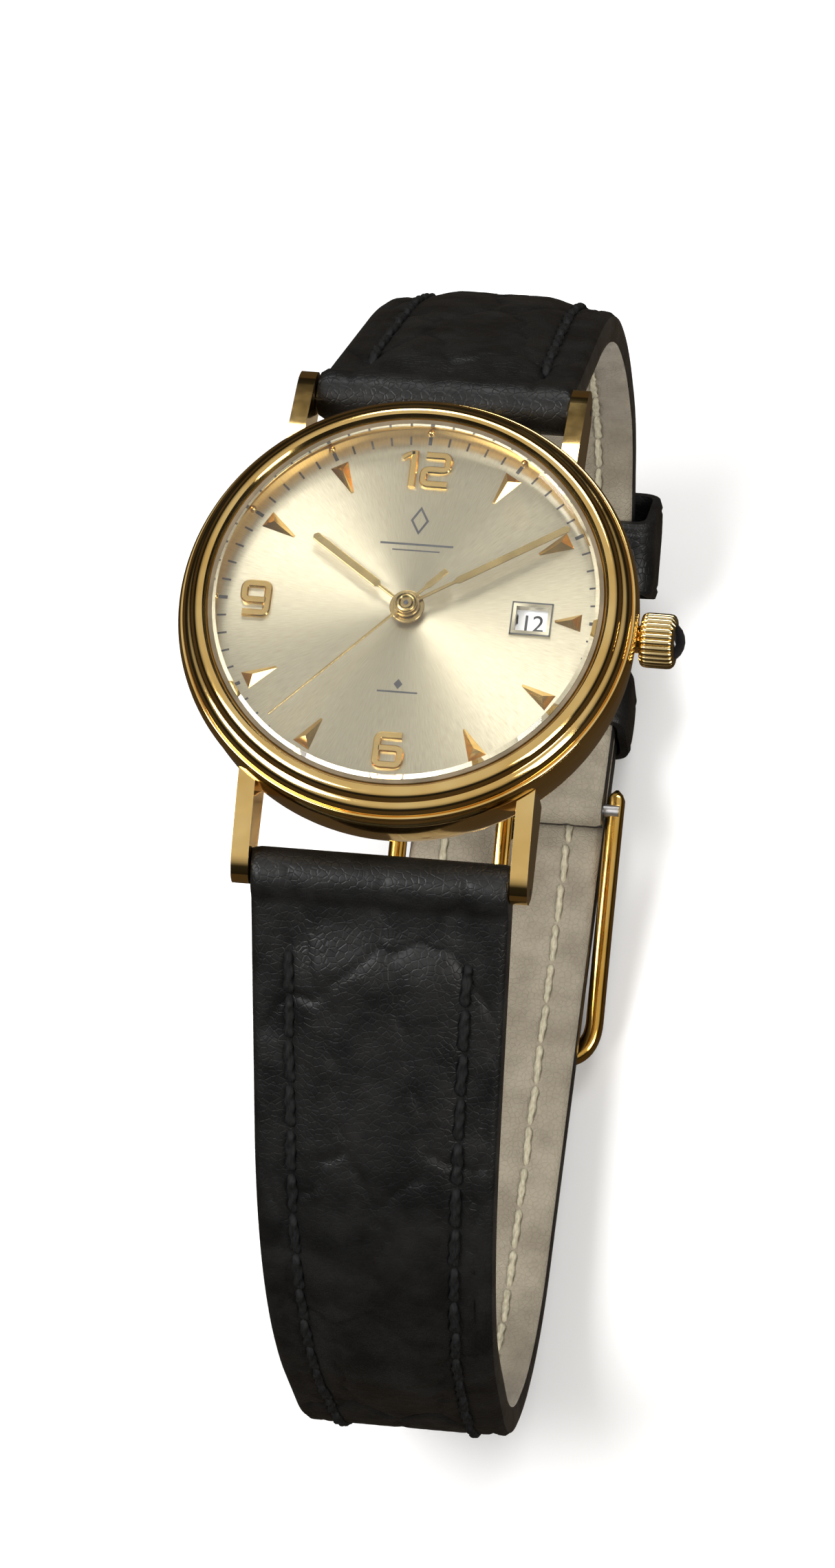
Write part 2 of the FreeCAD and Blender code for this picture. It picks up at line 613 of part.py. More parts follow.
def electrics():
    battery = new_body("battery")
    pad(battery, "XY_Plane", 1.5, circles=[(0, 0, 3.4)], lift=0.95)
    rim = battery.newObject("PartDesign::Pad", "battery_cap")
    rim.Profile = sketch_on(battery, "XY_Plane", (), [(0, 0, 2.9)], lift=0.88)
    rim.Length = 0.1
    battery.Placement = FreeCAD.Placement(Vector(-4.14, -4.14, 0), FreeCAD.Rotation())
    strip = [(-8.75, -0.9), (-7.6, -0.1), (-3.6, -3.2), (-0.2, -7.6), (-1.0, -8.75), (-5.0, -5.0)]
    clamp = new_body("battery_clamp")
    pad(clamp, "XY_Plane", 0.14, [strip], lift=0.65)
    cut_through(clamp, "XY_Plane", circles=[(x, y, 0.27) for x, y in CLAMP_SCREWS])
    board = new_body("circuit_board")
    pad(board, "XY_Plane", 0.15, [[(5.9, -4.2), (7.6, -4.2), (8.6, 0, 8.7), (7.0, 5.2, 9.0), (4.6, 5.2),
                                   (5.9, 2.4)]], lift=0.85)
    plain("quartz_can", Part.makeCylinder(0.62, 4.6, Vector(6.9, 0.5, 1.7), Vector(0, 1, 0)))
    plain("coil_core", block(-4.75, 2.9, 6.8, 7.2, 1.45, 1.85))
    winding = cylinder_x(0.72, -4.2, 2.4, 7.0, 1.65).cut(block(-5, 3, 6.78, 7.22, 1.43, 1.87))
    plain("coil", winding)
    stator = new_body("stator")
    pad(stator, "XY_Plane", 0.35, [[(-5.5, 3.8), (-4.75, 3.8), (0.6, 3.3), (3.6, 3.3), (3.6, 7.2), (2.9, 7.2),
                                    (2.9, 5.4), (-4.75, 5.4), (-4.75, 7.2), (-5.5, 7.2)]],
        lift=1.6)
    cut_through(stator, "XY_Plane", circles=[(*ROTOR_CENTRE, 0.75)])
    lever = fuse([block(6.55, 7.05, -1.6, 0.15, 2.25, 2.42), cylinder(0.32, 2.25, 2.42, 6.8, -1.6),
                  cylinder(0.2, 2.42, 3.1, 6.8, -1.6), cylinder(0.12, 2.42, 2.97, 6.8, 0)])
    plain("setting_lever", lever)
    screws = []
    for places, seat in ((PLATE_SCREWS, 0.8), (CLAMP_SCREWS, 0.65)):
        for x, y in places:
            slot = block(x - 0.5, x + 0.5, y - 0.05, y + 0.05, seat - 0.1, seat - 0.03)
            head_bottom = seat - 0.1
            screws.append(cylinder(0.42, head_bottom, seat, x, y).fuse(cylinder(0.24, seat, 3.3, x, y)).cut(slot))
    plain("movement_screws", Part.makeCompound(screws))


# ---------------------------------------------------------------- strap
def straight(length):
    return (length, 0.0)


def bend(radius, turn):
    return (radius, turn)


def layer(start, heading, pieces, low, high, x_half):
    """Band that follows a path in the YZ plane, between two offsets to the left of its heading."""
    sides = {low: [], high: []}
    place, angle = Vector(0, *start), math.radians(heading)
    for amount, turn in pieces:
        turn = math.radians(turn)
        for offset, edges in sides.items():
            normal = Vector(0, -math.sin(angle), math.cos(angle))
            if turn == 0:
                ahead = Vector(0, math.cos(angle), math.sin(angle)) * amount
                edges.append((place + normal * offset, None, place + ahead + normal * offset))
                continue
            side = math.copysign(1, turn)
            centre = place + normal * amount * side
            spoke = amount - offset * side
            marks = []
            for share in (0, 0.5, 1):
                swept = angle + turn * share
                marks.append(centre + Vector(0, math.sin(swept), -math.cos(swept)) * spoke * side)
            edges.append(tuple(marks))
        if turn == 0:
            place = place + Vector(0, math.cos(angle), math.sin(angle)) * amount
        else:
            normal = Vector(0, -math.sin(angle), math.cos(angle))
            centre = place + normal * amount * math.copysign(1, turn)
            angle += turn
            place = centre + Vector(0, math.sin(angle), -math.cos(angle)) * amount * math.copysign(1, turn)
    edges = []
    for begin, middle, finish in sides[low] + [(sides[low][-1][2], None, sides[high][-1][2])]:
        edges.append(Part.Arc(begin, middle, finish).toShape() if middle else Part.makeLine(begin, finish))
    for begin, middle, finish in reversed(sides[high]):
        edges.append(Part.Arc(finish, middle, begin).toShape() if middle else Part.makeLine(finish, begin))
    edges.append(Part.makeLine(sides[high][0][0], sides[low][0][0]))
    face = Part.Face(Part.Wire(edges))
    face.translate(Vector(-x_half, 0, 0))
    return face.extrude(Vector(2 * x_half, 0, 0)), place, math.degrees(angle)


def tapered(shape, inset=0.0):
    """Trim a band to the strap's width: full at the lugs, narrowing down to the buckle."""
    wide, narrow = mm("strap_width") / 2 - inset, mm("buckle_strap_width") / 2 - inset
    between = wide - 0.68 * (wide - narrow)
    side = [(wide, 4.0), (wide, 0.0), (between, -24.0), (narrow, -41.0), (narrow, -60.0)]
    corners = [Vector(x, -60, z) for x, z in side] + [Vector(-x, -60, z) for x, z in reversed(side)]
    prism = Part.Face(Part.makePolygon([*corners, corners[0]])).extrude(Vector(0, 120, 0))
    return shape.common(prism)


# Centre of the bend where the strap turns under the wrist, below 12 o'clock, and its radius at the
# middle of the short (inner) strap.
TURN_CENTRE = (19.8, -34.5)
TURN_RADIUS = 12.0
SHORT_HEADING, LONG_HEADING = -50.0, 225.0


def short_path():
    """Middle of the short strap, from the 12 o'clock bar to the buckle's bar."""
    slope = mm("bottom_slope")
    upper_bend = 34.75
    across = TURN_CENTRE[0] + TURN_RADIUS - mm("bar_distance")
    first = (across - upper_bend * (1 - math.sin(math.radians(50)))) / math.cos(math.radians(50))
    drop = (mm("bar_height") - first * math.sin(math.radians(50)) - upper_bend * math.cos(math.radians(50))
            - TURN_CENTRE[1])
    flat_start = TURN_CENTRE[0] - TURN_RADIUS * math.sin(math.radians(slope))
    last = (flat_start - mm("buckle_bar_y")) / math.cos(math.radians(slope))
    return [straight(first), bend(upper_bend, -40.0), straight(drop), bend(TURN_RADIUS, -90.0 - slope),
            straight(last)]


def long_path():
    """Middle of the long strap, from the 6 o'clock bar round to its tip in the loose keeper."""
    slope = math.radians(mm("bottom_slope"))
    first, front_bend, corner_bend = 15.0, 25.4, 14.0
    outer_turn = TURN_RADIUS + mm("layer_spacing")
    diagonal = math.sqrt(0.5)
    front_y = -mm("bar_distance") - first * diagonal - front_bend * (1 - diagonal)
    front_z = mm("bar_height") - (first + front_bend) * diagonal
    corner_y = front_y + corner_bend * (1 - math.sin(slope))
    corner_z = front_z - corner_bend * math.cos(slope)
    drop = ((outer_turn + (corner_y - TURN_CENTRE[0]) * math.sin(slope)) / math.cos(slope)
            + corner_z - TURN_CENTRE[1])
    tangent_y = TURN_CENTRE[0] - outer_turn * math.sin(slope)
    flat = (tangent_y - corner_y) / math.cos(slope)
    return [straight(first), bend(front_bend, 45.0), straight(drop),
            bend(corner_bend, 90.0 - mm("bottom_slope")), straight(flat), bend(outer_turn, 42.0)]


def after_start(path, skipped):
    """The same path with its first straight shortened at the start."""
    return [straight(path[0][0] - skipped), *path[1:]]


def point_ahead(start, heading, distance):
    angle = math.radians(heading)
    return (start[0] + distance * math.cos(angle), start[1] + distance * math.sin(angle))


def strap_half(side, heading, path, padded_pieces, outward):
    """Leather with its roll round the spring bar, padding under it, and lining on the wrist side."""
    bar = (side * mm("bar_distance"), mm("bar_height"))
    half = mm("strap_thickness") / 2
    seam = -half + mm("lining_thickness")
    rise = mm("padding_rise")
    wide = mm("strap_width") / 2

    def band(skip, pieces, inner, outer, inset=0.0, slack=0.0):
        low, high = sorted((inner * outward, outer * outward))
        start = point_ahead(bar, heading, skip)
        shape, _, _ = layer(start, heading, after_start(pieces, skip), low, high, wide + slack)
        return tapered(shape, inset)

    roll = cylinder_x(mm("roll_radius"), -wide, wide, *bar)
    bore = cylinder_x(mm("roll_bore"), -wide - 1, wide + 1, *bar)
    skin = band(0.0, path, seam, half)
    hump = band(2.6, padded_pieces, half - 0.1, half + rise, inset=1.5)
    padding = band(3.4, padded_pieces, seam + 0.3, half + rise - 0.5, inset=2.4)
    lining = band(1.9, path, -half, seam)
    leather = skin.fuse([hump, roll]).cut([bore, padding, lining])
    return leather, padding, lining


def strap_holes():
    """Buckle holes along the long strap; the one in use is drawn out where the tongue leans in it."""
    holes = []
    for step in (-3, -2, -1, 1):
        holes.append(cylinder(0.75, -60, -44, 0, TONGUE_HOLE_Y + 6.4 * step))
    slot = block(-0.75, 0.75, TONGUE_HOLE_Y - 1.6, TONGUE_HOLE_Y + 1.6, -60, -44)
    return holes + [slot]


TONGUE_HOLE_Y = 2.3


def straps():
    path = short_path()
    leather, padding, lining = strap_half(1, SHORT_HEADING, path, path[:2], 1)
    bar_y, bar_z = buckle_bar_place()
    end_bore = cylinder_x(0.5, -8, 8, bar_y, bar_z)
    end_roll = cylinder_x(1.1, -mm("buckle_strap_width") / 2, mm("buckle_strap_width") / 2, bar_y, bar_z)
    notch = block(-0.75, 0.75, bar_y - 1.4, bar_y + 2.2, bar_z - 2, bar_z + 2)
    room = cylinder_x(1.1, -8, 8, bar_y, bar_z)
    plain("short_strap_leather", leather.fuse(end_roll).cut([end_bore, notch]))
    plain("short_strap_padding", padding)
    plain("short_strap_lining", lining.cut([room, notch]))
    path = long_path()
    leather, padding, lining = strap_half(-1, LONG_HEADING, path, path[:2], -1)
    plain("long_strap_leather", leather.cut(strap_holes()))
    plain("long_strap_padding", padding)
    plain("long_strap_lining", lining.cut(strap_holes()))


def buckle_bar_place():
    """Where the short strap's middle ends: the axis of the buckle's bar."""
    start = (mm("bar_distance"), mm("bar_height"))
    _, place, _ = layer(start, SHORT_HEADING, short_path(), -0.1, 0.1, 1)
    return place.y, place.z


def spring_bars():
    half = mm("lug_gap") / 2
    for name, side in (("12", 1), ("6", -1)):
        y, z = side * mm("bar_distance"), mm("bar_height")
        tube = cylinder_x(mm("bar_radius"), -half + 0.1, half - 0.1, y, z)
        fixed_tip = cylinder_x(mm("tip_radius"), -half - 0.85, -half + 0.2, y, z)
        socket = cylinder_x(mm("tip_radius") + 0.04, half - 2.2, half + 1, y, z)
        plain(f"spring_bar_{name}", tube.fuse(fixed_tip).cut(socket))
        plain(f"spring_bar_{name}_tip", cylinder_x(mm("tip_radius"), half - 1.1, half + 0.85, y, z))


# ---------------------------------------------------------------- buckle and keepers
def along_bottom(y, z_offset):
    """Point below the wrist, at a distance from the buckle bar's axis measured across the strap."""
    slope = math.radians(mm("bottom_slope"))
    bar_y, bar_z = buckle_bar_place()
    return Vector(0, y, bar_z - (y - bar_y) * math.tan(slope) + z_offset)


def curved_strip(inner, outer, x_half):
    """Strip between two arcs in the YZ plane, each through three points, drawn across the strap."""
    edges = [Part.Arc(*inner).toShape(), Part.makeLine(inner[2], outer[2]),
             Part.Arc(outer[2], outer[1], outer[0]).toShape(), Part.makeLine(outer[0], inner[0])]
    face = Part.Face(Part.Wire(edges))
    face.translate(Vector(-x_half, 0, 0))
    return face.extrude(Vector(2 * x_half, 0, 0))


def buckle():
    bar_y, bar_z = buckle_bar_place()
    half, far = mm("buckle_width") / 2, -5.4
    reach = -mm("layer_spacing") - mm("strap_thickness") / 2
    inner = [along_bottom(bar_y + 1.3, 0.45), along_bottom(4.0, -1.1), along_bottom(far, reach - 0.6)]
    outer = [along_bottom(bar_y + 1.3, -0.55), along_bottom(4.0, -2.3), along_bottom(far, reach - 1.75)]
    strip = curved_strip(inner, outer, half)
    window = block(-half + 1.05, half - 1.05, far + 1.35, bar_y + 5, bar_z - 12, bar_z + 12)
    plan = Part.makeBox(2 * half, bar_y + 1.4 - far, 30, Vector(-half, far, bar_z - 15))
    corners = [edge for edge in plan.Edges if abs(edge.tangentAt(edge.FirstParameter).z) > 0.9]
    plan = plan.makeFillet(2.2, [edge for edge in corners if edge.BoundBox.YMin < far + 0.1])
    bar_hole = cylinder_x(mm("buckle_bar_radius") + 0.03, -20, 20, bar_y, bar_z)
    groove = tongue_rods(tongue_route(), 0.56, 0.72)
    plain("buckle_frame", strip.common(plan).cut(window).cut(bar_hole).cut(groove))
    plain("buckle_bar", cylinder_x(mm("buckle_bar_radius"), -half + 0.25, half - 0.25, bar_y, bar_z))
    hook = cylinder_x(1.05, -0.5, 0.5, bar_y, bar_z)
    bore = cylinder_x(mm("buckle_bar_radius") + 0.05, -1, 1, bar_y, bar_z)
    plain("buckle_tongue", fuse([hook, *tongue_rods(tongue_route(), 0.5, 0.6)]).cut(bore))


def tongue_route():
    """Middle of the prong: from the bar along the wrist side, down through the hole, out over the far bar."""
    clear = mm("strap_thickness") / 2 + 0.42
    outside, inside = -mm("layer_spacing") - clear, -mm("layer_spacing") + clear
    bar_y, _ = buckle_bar_place()
    return [along_bottom(bar_y, 0.75), along_bottom(7.2, 0.3), along_bottom(4.6, inside + 0.16),
            along_bottom(3.5, inside + 0.08), along_bottom(0.9, outside), along_bottom(-3.6, outside - 0.62),
            along_bottom(-5.6, outside - 1.28)]


def tongue_rods(route, half_width, thick):
    """Flat bars of one thickness from point to point, with round joints between them."""
    rods = []
    for begin, finish in zip(route, route[1:]):
        rod = Part.makeBox(2 * half_width, (finish - begin).Length, thick, Vector(-half_width, 0, -thick / 2))
        rod.rotate(Vector(), X_AXIS, math.degrees(math.atan2(finish.z - begin.z, finish.y - begin.y)))
        rod.translate(begin)
        rods.append(rod)
        rods.append(cylinder_x(thick / 2, -half_width, half_width, finish.y, finish.z))
    return rods


def keepers():
    slope = mm("bottom_slope")
    half, thick, gap = mm("buckle_strap_width") / 2, 0.75, 0.15
    low = -mm("layer_spacing") - mm("strap_thickness") / 2 - gap
    high = mm("strap_thickness") / 2 + gap
    start, length = along_bottom(15.2, 0), 3.8
    outer = block(-half - gap - thick, half + gap + thick, 0, length, low - thick, high + thick)
    inner = block(-half - gap, half + gap, -1, length + 1, low, high)
    loop = outer.cut(inner)
    loop.rotate(Vector(), X_AXIS, -slope)
    loop.translate(start)
    plain("fixed_keeper", loop)
    near = TURN_RADIUS - mm("strap_thickness") / 2 - gap
    away = TURN_RADIUS + mm("layer_spacing") + mm("strap_thickness") / 2 + gap
    side = half + 0.75
    loose = ring_sector(near - thick, away + thick, side + thick, 12.0)
    loose = loose.cut(ring_sector(near, away, side, 15.0))
    loose.translate(Vector(0, *TURN_CENTRE))
    plain("free_keeper", loose)


KEEPER_ANGLE = -52.0


def ring_sector(inner_radius, outer_radius, x_half, spread):
    """Part of a thick ring about the X axis, to either side of the free keeper's place."""
    ring = cylinder_x(outer_radius, -x_half, x_half, 0, 0).cut(cylinder_x(inner_radius, -x_half, x_half, 0, 0))
    corners = [Vector(-x_half, 0, 0)]
    for angle in (math.radians(KEEPER_ANGLE - spread), math.radians(KEEPER_ANGLE + spread)):
        corners.append(Vector(-x_half, 40 * math.cos(angle), 40 * math.sin(angle)))
    wedge = Part.Face(Part.makePolygon([*corners, corners[0]]))
    return ring.common(wedge.extrude(Vector(2 * x_half, 0, 0)))


# ---------------------------------------------------------------- the whole watch
def build():
    case_middle()
    bezel()
    case_back()
    crystal_and_seals()
    flange_ring()
    movement_holder()
    crown_group()
    dial()
    numeral("numeral_12", "12", 0.05, 8.35)
    numeral("numeral_6", "6", 0.0, -8.3)
    numeral("numeral_9", "9", -8.35, 0.0)
    markers_and_dots()
    hands()
    going_train()
    motion_work()
    date_ring()
    main_plate()
    train_bridge()
    electrics()
    spring_bars()
    straps()
    buckle()
    keepers()


def sub_parts():
    return [item for item in doc.Objects if item.TypeId in ("PartDesign::Body", "Part::Feature")]


def check():
    for item in doc.Objects:
        if "Invalid" in item.State or "Error" in item.State:
            raise RuntimeError(f"{item.Name} failed: {item.State}")
    for item in sub_parts():
        if item.Shape.isNull() or not item.Shape.isValid() or item.Shape.Volume <= 0:
            raise RuntimeError(f"{item.Label} has no valid shape")


def export():
    os.makedirs("parts", exist_ok=True)
    for old in os.listdir("parts"):
        os.remove(os.path.join("parts", old))
    for item in sub_parts():
        item.Shape.exportStep(f"parts/{item.Label}.step")
        print(f"{item.Label}: {len(item.Shape.Solids)} solids, {item.Shape.Volume:.2f} mm3")


build()
doc.recompute()
check()
export()
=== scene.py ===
import math
import random

import bmesh
import bpy
import numpy as np
from mathutils import Matrix, Vector


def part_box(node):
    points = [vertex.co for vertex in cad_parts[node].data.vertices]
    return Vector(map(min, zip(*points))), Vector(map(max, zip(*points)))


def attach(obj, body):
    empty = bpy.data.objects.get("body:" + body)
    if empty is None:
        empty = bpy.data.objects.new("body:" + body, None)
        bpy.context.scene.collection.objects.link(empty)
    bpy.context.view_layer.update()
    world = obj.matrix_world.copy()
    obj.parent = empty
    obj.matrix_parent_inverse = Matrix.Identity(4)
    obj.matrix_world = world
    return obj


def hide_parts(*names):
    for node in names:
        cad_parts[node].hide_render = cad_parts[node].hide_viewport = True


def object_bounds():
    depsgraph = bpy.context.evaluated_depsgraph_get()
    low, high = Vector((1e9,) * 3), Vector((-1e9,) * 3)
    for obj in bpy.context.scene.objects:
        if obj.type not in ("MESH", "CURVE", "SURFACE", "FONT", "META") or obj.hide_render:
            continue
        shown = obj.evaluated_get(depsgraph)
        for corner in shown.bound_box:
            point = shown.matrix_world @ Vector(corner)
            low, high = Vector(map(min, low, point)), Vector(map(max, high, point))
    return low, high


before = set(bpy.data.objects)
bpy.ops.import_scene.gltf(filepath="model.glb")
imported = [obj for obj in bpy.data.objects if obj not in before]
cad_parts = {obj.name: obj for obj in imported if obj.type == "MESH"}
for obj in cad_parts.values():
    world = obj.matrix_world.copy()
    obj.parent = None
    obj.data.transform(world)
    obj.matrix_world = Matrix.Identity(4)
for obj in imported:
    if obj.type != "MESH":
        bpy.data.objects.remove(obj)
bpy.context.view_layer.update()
MM = 0.001
DIAL_TOP = 4.5
MINUTE_SHOWN, SECOND_SHOWN = 9.62, 37.2


# ---------------------------------------------------------------- materials
class Nodes:
    """Short names for the few node links that every material here uses."""

    def __init__(self, name, colour, metallic=0.0, roughness=0.5):
        self.material = bpy.data.materials.new(name)
        self.material.use_nodes = True
        self.tree = self.material.node_tree
        self.shader = self.tree.nodes["Principled BSDF"]
        self.set("Base Color", (*colour, 1.0))
        self.set("Metallic", metallic)
        self.set("Roughness", roughness)
        self.place = self.add("ShaderNodeTexCoord").outputs["Object"]

    def set(self, socket, value):
        self.shader.inputs[socket].default_value = value
        return self

    def add(self, kind, **settings):
        node = self.tree.nodes.new(kind)
        for key, value in settings.items():
            setattr(node, key, value)
        return node

    def link(self, output, socket):
        self.tree.links.new(output, socket)

    def stretched(self, scale):
        node = self.add("ShaderNodeMapping")
        node.inputs["Scale"].default_value = scale
        self.link(self.place, node.inputs["Vector"])
        return node.outputs["Vector"]

    def noise(self, scale, detail=3.0, stretch=None, place=None):
        node = self.add("ShaderNodeTexNoise")
        node.inputs["Scale"].default_value = scale
        node.inputs["Detail"].default_value = detail
        source = place or (self.stretched(stretch) if stretch else self.place)
        self.link(source, node.inputs["Vector"])
        return node.outputs["Fac"]

    def cells(self, scale):
        node = self.add("ShaderNodeTexVoronoi", feature="DISTANCE_TO_EDGE")
        node.inputs["Scale"].default_value = scale
        self.link(self.place, node.inputs["Vector"])
        return node.outputs["Distance"]

    def ramp(self, value, low, high, low_value, high_value):
        node = self.add("ShaderNodeMapRange")
        limits = {"From Min": low, "From Max": high, "To Min": low_value, "To Max": high_value}
        for socket, number in limits.items():
            node.inputs[socket].default_value = number
        self.link(value, node.inputs["Value"])
        return node.outputs["Result"]

    def tint(self, value, first, second, low=0.35, high=0.65):
        node = self.add("ShaderNodeValToRGB")
        node.color_ramp.elements[0].position = low
        node.color_ramp.elements[0].color = (*first, 1.0)
        node.color_ramp.elements[1].position = high
        node.color_ramp.elements[1].color = (*second, 1.0)
        self.link(value, node.inputs["Fac"])
        self.link(node.outputs["Color"], self.shader.inputs["Base Color"])
        return self

    def rough(self, value, low, high):
        self.link(self.ramp(value, 0.3, 0.7, low, high), self.shader.inputs["Roughness"])
        return self

    def bump(self, *layers):
        """Each layer is (height value, depth in metres)."""
        normal = None
        for value, depth in layers:
            node = self.add("ShaderNodeBump")
            node.inputs["Strength"].default_value = 1.0
            node.inputs["Distance"].default_value = depth
            self.link(value, node.inputs["Height"])
            if normal:
                self.link(normal, node.inputs["Normal"])
            normal = node.outputs["Normal"]
        self.link(normal, self.shader.inputs["Normal"])
        return self


def polished(name, deep, pale, low=0.06, high=0.13, grain=0.0000003):
    """Polished plating: faint colour drift, hairline scratches and a slightly uneven shine."""
    made = Nodes(name, pale, metallic=1.0)
    made.tint(made.noise(260.0), deep, pale)
    made.rough(made.noise(900.0, 5.0), low, high)
    made.bump((made.noise(2600.0, 4.0), grain), (made.noise(9000.0, 2.0, stretch=(1, 0.06, 1)), grain * 0.5))
    return made.material


def brushed(name, deep, pale, stretch, low=0.24, high=0.4):
    made = Nodes(name, pale, metallic=1.0)
    lines = made.noise(7000.0, 4.0, stretch=stretch)
    made.tint(made.noise(500.0), deep, pale)
    made.rough(lines, low, high)
    made.bump((lines, 0.0000012))
    return made.material


def around_dial(made):
    """Angle about the dial's centre and distance from it, as a vector for radial brushing."""
    split = made.add("ShaderNodeSeparateXYZ")
    made.link(made.place, split.inputs["Vector"])
    angle = made.add("ShaderNodeMath", operation="ARCTAN2")
    made.link(split.outputs["Y"], angle.inputs[0])
    made.link(split.outputs["X"], angle.inputs[1])
    length = made.add("ShaderNodeVectorMath", operation="LENGTH")
    made.link(made.place, length.inputs[0])
    joined = made.add("ShaderNodeCombineXYZ")
    made.link(angle.outputs["Value"], joined.inputs["X"])
    far = made.add("ShaderNodeMath", operation="MULTIPLY")
    made.link(length.outputs["Value"], far.inputs[0])
    far.inputs[1].default_value = 12.0
    made.link(far.outputs["Value"], joined.inputs["Y"])
    return joined.outputs["Vector"]


def sunburst(name, deep, pale):
    """Lacquered dial metal with fine brushing that runs out from the centre."""
    made = Nodes(name, pale, metallic=0.92, roughness=0.36)
    radial = around_dial(made)
    made.set("Anisotropic", 0.82).set("Coat Weight", 0.25).set("Coat Roughness", 0.12)
    tangent = made.add("ShaderNodeTangent", direction_type="RADIAL", axis="Z")
    made.link(tangent.outputs["Tangent"], made.shader.inputs["Tangent"])
    lines = made.noise(150.0, 4.0, place=radial)
    made.tint(lines, deep, pale, 0.2, 0.8)
    made.rough(lines, 0.3, 0.4)
    made.bump((lines, 0.0000016), (made.noise(5000.0, 3.0), 0.0000005))
    return made.material


def leather(name, dark, light, low, high, pore=0.00001, scale=2600.0, sheen=0.0, shine=0.5):
    made = Nodes(name, light)
    made.tint(made.noise(420.0, 5.0), dark, light)
    made.rough(made.noise(700.0, 4.0), low, high)
    grains = made.ramp(made.cells(scale), 0.0, 0.12, 0.0, 1.0)
    made.bump((grains, pore), (made.noise(scale * 2.2, 4.0), pore * 0.5), (made.noise(300.0, 3.0), 0.00004))
    made.set("Specular IOR Level", shine).set("Sheen Weight", sheen)
    return made.material


def thread(name, dark, light):
    made = Nodes(name, light, roughness=0.7)
    fibres = made.noise(9000.0, 3.0, stretch=(1, 0.3, 0.3))
    made.tint(fibres, dark, light)
    made.bump((fibres, 0.00002))
    made.set("Specular IOR Level", 0.2)
    return made.material


def plastic(name, dark, light, low=0.35, high=0.5, scale=1800.0):
    made = Nodes(name, light)
    made.tint(made.noise(scale * 0.3), dark, light)
    made.rough(made.noise(scale), low, high)
    made.bump((made.noise(scale * 3, 3.0), 0.000003))
    return made.material


def clear_glass(name):
    made = Nodes(name, (0.98, 0.99, 1.0), roughness=0.0)
    made.set("Transmission Weight", 1.0).set("IOR", 1.5)
    made.link(made.ramp(made.noise(300.0), 0.3, 0.7, 0.0, 0.004), made.shader.inputs["Roughness"])
    return made.material


GOLD = polished("gold_case", (0.84, 0.54, 0.17), (0.97, 0.69, 0.28))
GOLD_PALE = polished("gold_applied", (0.70, 0.47, 0.15), (0.84, 0.60, 0.24), 0.1, 0.18)
GOLD_HANDS = polished("gold_hands", (0.46, 0.34, 0.14), (0.60, 0.46, 0.22), 0.16, 0.26)
GOLD_DEEP = polished("gold_buckle", (0.74, 0.42, 0.08), (0.86, 0.53, 0.14), 0.08, 0.16)
GOLD_CROWN = polished("gold_crown", (0.62, 0.46, 0.20), (0.78, 0.62, 0.33), 0.14, 0.24)
DIAL = sunburst("dial_champagne", (0.35, 0.31, 0.21), (0.47, 0.425, 0.305))
BLACK_LEATHER = leather("leather_black", (0.004, 0.004, 0.004), (0.010, 0.0098, 0.0095), 0.36, 0.52, 0.000012,
                        shine=0.26)
EDGE_PAINT = leather("leather_edge_paint", (0.008, 0.008, 0.008), (0.02, 0.019, 0.018), 0.26, 0.38, 0.000004)
LINING = leather("leather_lining", (0.19, 0.16, 0.115), (0.265, 0.23, 0.17), 0.62, 0.8, 0.00002, 3200.0, 0.1)
BLACK_THREAD = thread("thread_black", (0.003, 0.003, 0.003), (0.009, 0.009, 0.009))
BEIGE_THREAD = thread("thread_beige", (0.30, 0.27, 0.19), (0.46, 0.42, 0.31))
GLASS = clear_glass("mineral_glass")
SEAL = plastic("seal_amber", (0.10, 0.075, 0.04), (0.16, 0.12, 0.07), 0.4, 0.5)
# Black for printed marks, and also painted shade: the discs that stand for the lugs' spring-bar holes use it.
PRINT_AND_HOLE_SHADE = plastic("print_and_hole_shade_black", (0.012, 0.012, 0.012), (0.03, 0.03, 0.03), 0.4, 0.55)
WHITE = plastic("date_white", (0.78, 0.78, 0.78), (0.84, 0.84, 0.84), 0.4, 0.5)
ONYX = plastic("onyx_black", (0.006, 0.006, 0.007), (0.016, 0.016, 0.018), 0.08, 0.16)
STEEL = brushed("steel", (0.42, 0.42, 0.43), (0.62, 0.62, 0.63), (0.08, 1, 1))
BRASS = brushed("wheel_brass", (0.66, 0.48, 0.20), (0.82, 0.64, 0.32), (1, 0.1, 1))
COPPER = brushed("coil_copper", (0.50, 0.20, 0.09), (0.72, 0.34, 0.17), (40, 1, 1), 0.3, 0.5)
HOLDER = plastic("holder_plastic", (0.62, 0.62, 0.60), (0.72, 0.72, 0.69))
BOARD = plastic("circuit_board", (0.02, 0.10, 0.05), (0.03, 0.16, 0.08))


# ---------------------------------------------------------------- mesh helpers
def piece(name, points, faces, materials, body, replaced=(), slot=None, kinds=None, sharp=35.0, bevel=0.0):
    """A mesh in millimetres, riding on a CAD body and standing for the CAD nodes it replaces."""
    mesh = bpy.data.meshes.new(name)
    mesh.from_pydata([(x * MM, y * MM, z * MM) for x, y, z in points], [], faces)
    for material in materials:
        mesh.materials.append(material)
    if kinds is not None:
        mesh.polygons.foreach_set("material_index", kinds)
    work = bmesh.new()
    work.from_mesh(mesh)
    bmesh.ops.remove_doubles(work, verts=work.verts, dist=1e-7)
    bmesh.ops.recalc_face_normals(work, faces=work.faces)
    work.to_mesh(mesh)
    work.free()
    mesh.polygons.foreach_set("use_smooth", [True] * len(mesh.polygons))
    mesh.set_sharp_from_angle(angle=math.radians(sharp))
    item = bpy.data.objects.new(name, mesh)
    bpy.context.scene.collection.objects.link(item)
    if bevel:
        rounding = item.modifiers.new("edge", "BEVEL")
        rounding.width = bevel * MM
        rounding.segments = 3
        rounding.limit_method = "ANGLE"
        rounding.angle_limit = math.radians(30)
        rounding.harden_normals = True
    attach(item, body)
    if replaced:
        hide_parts(*replaced)
    return item


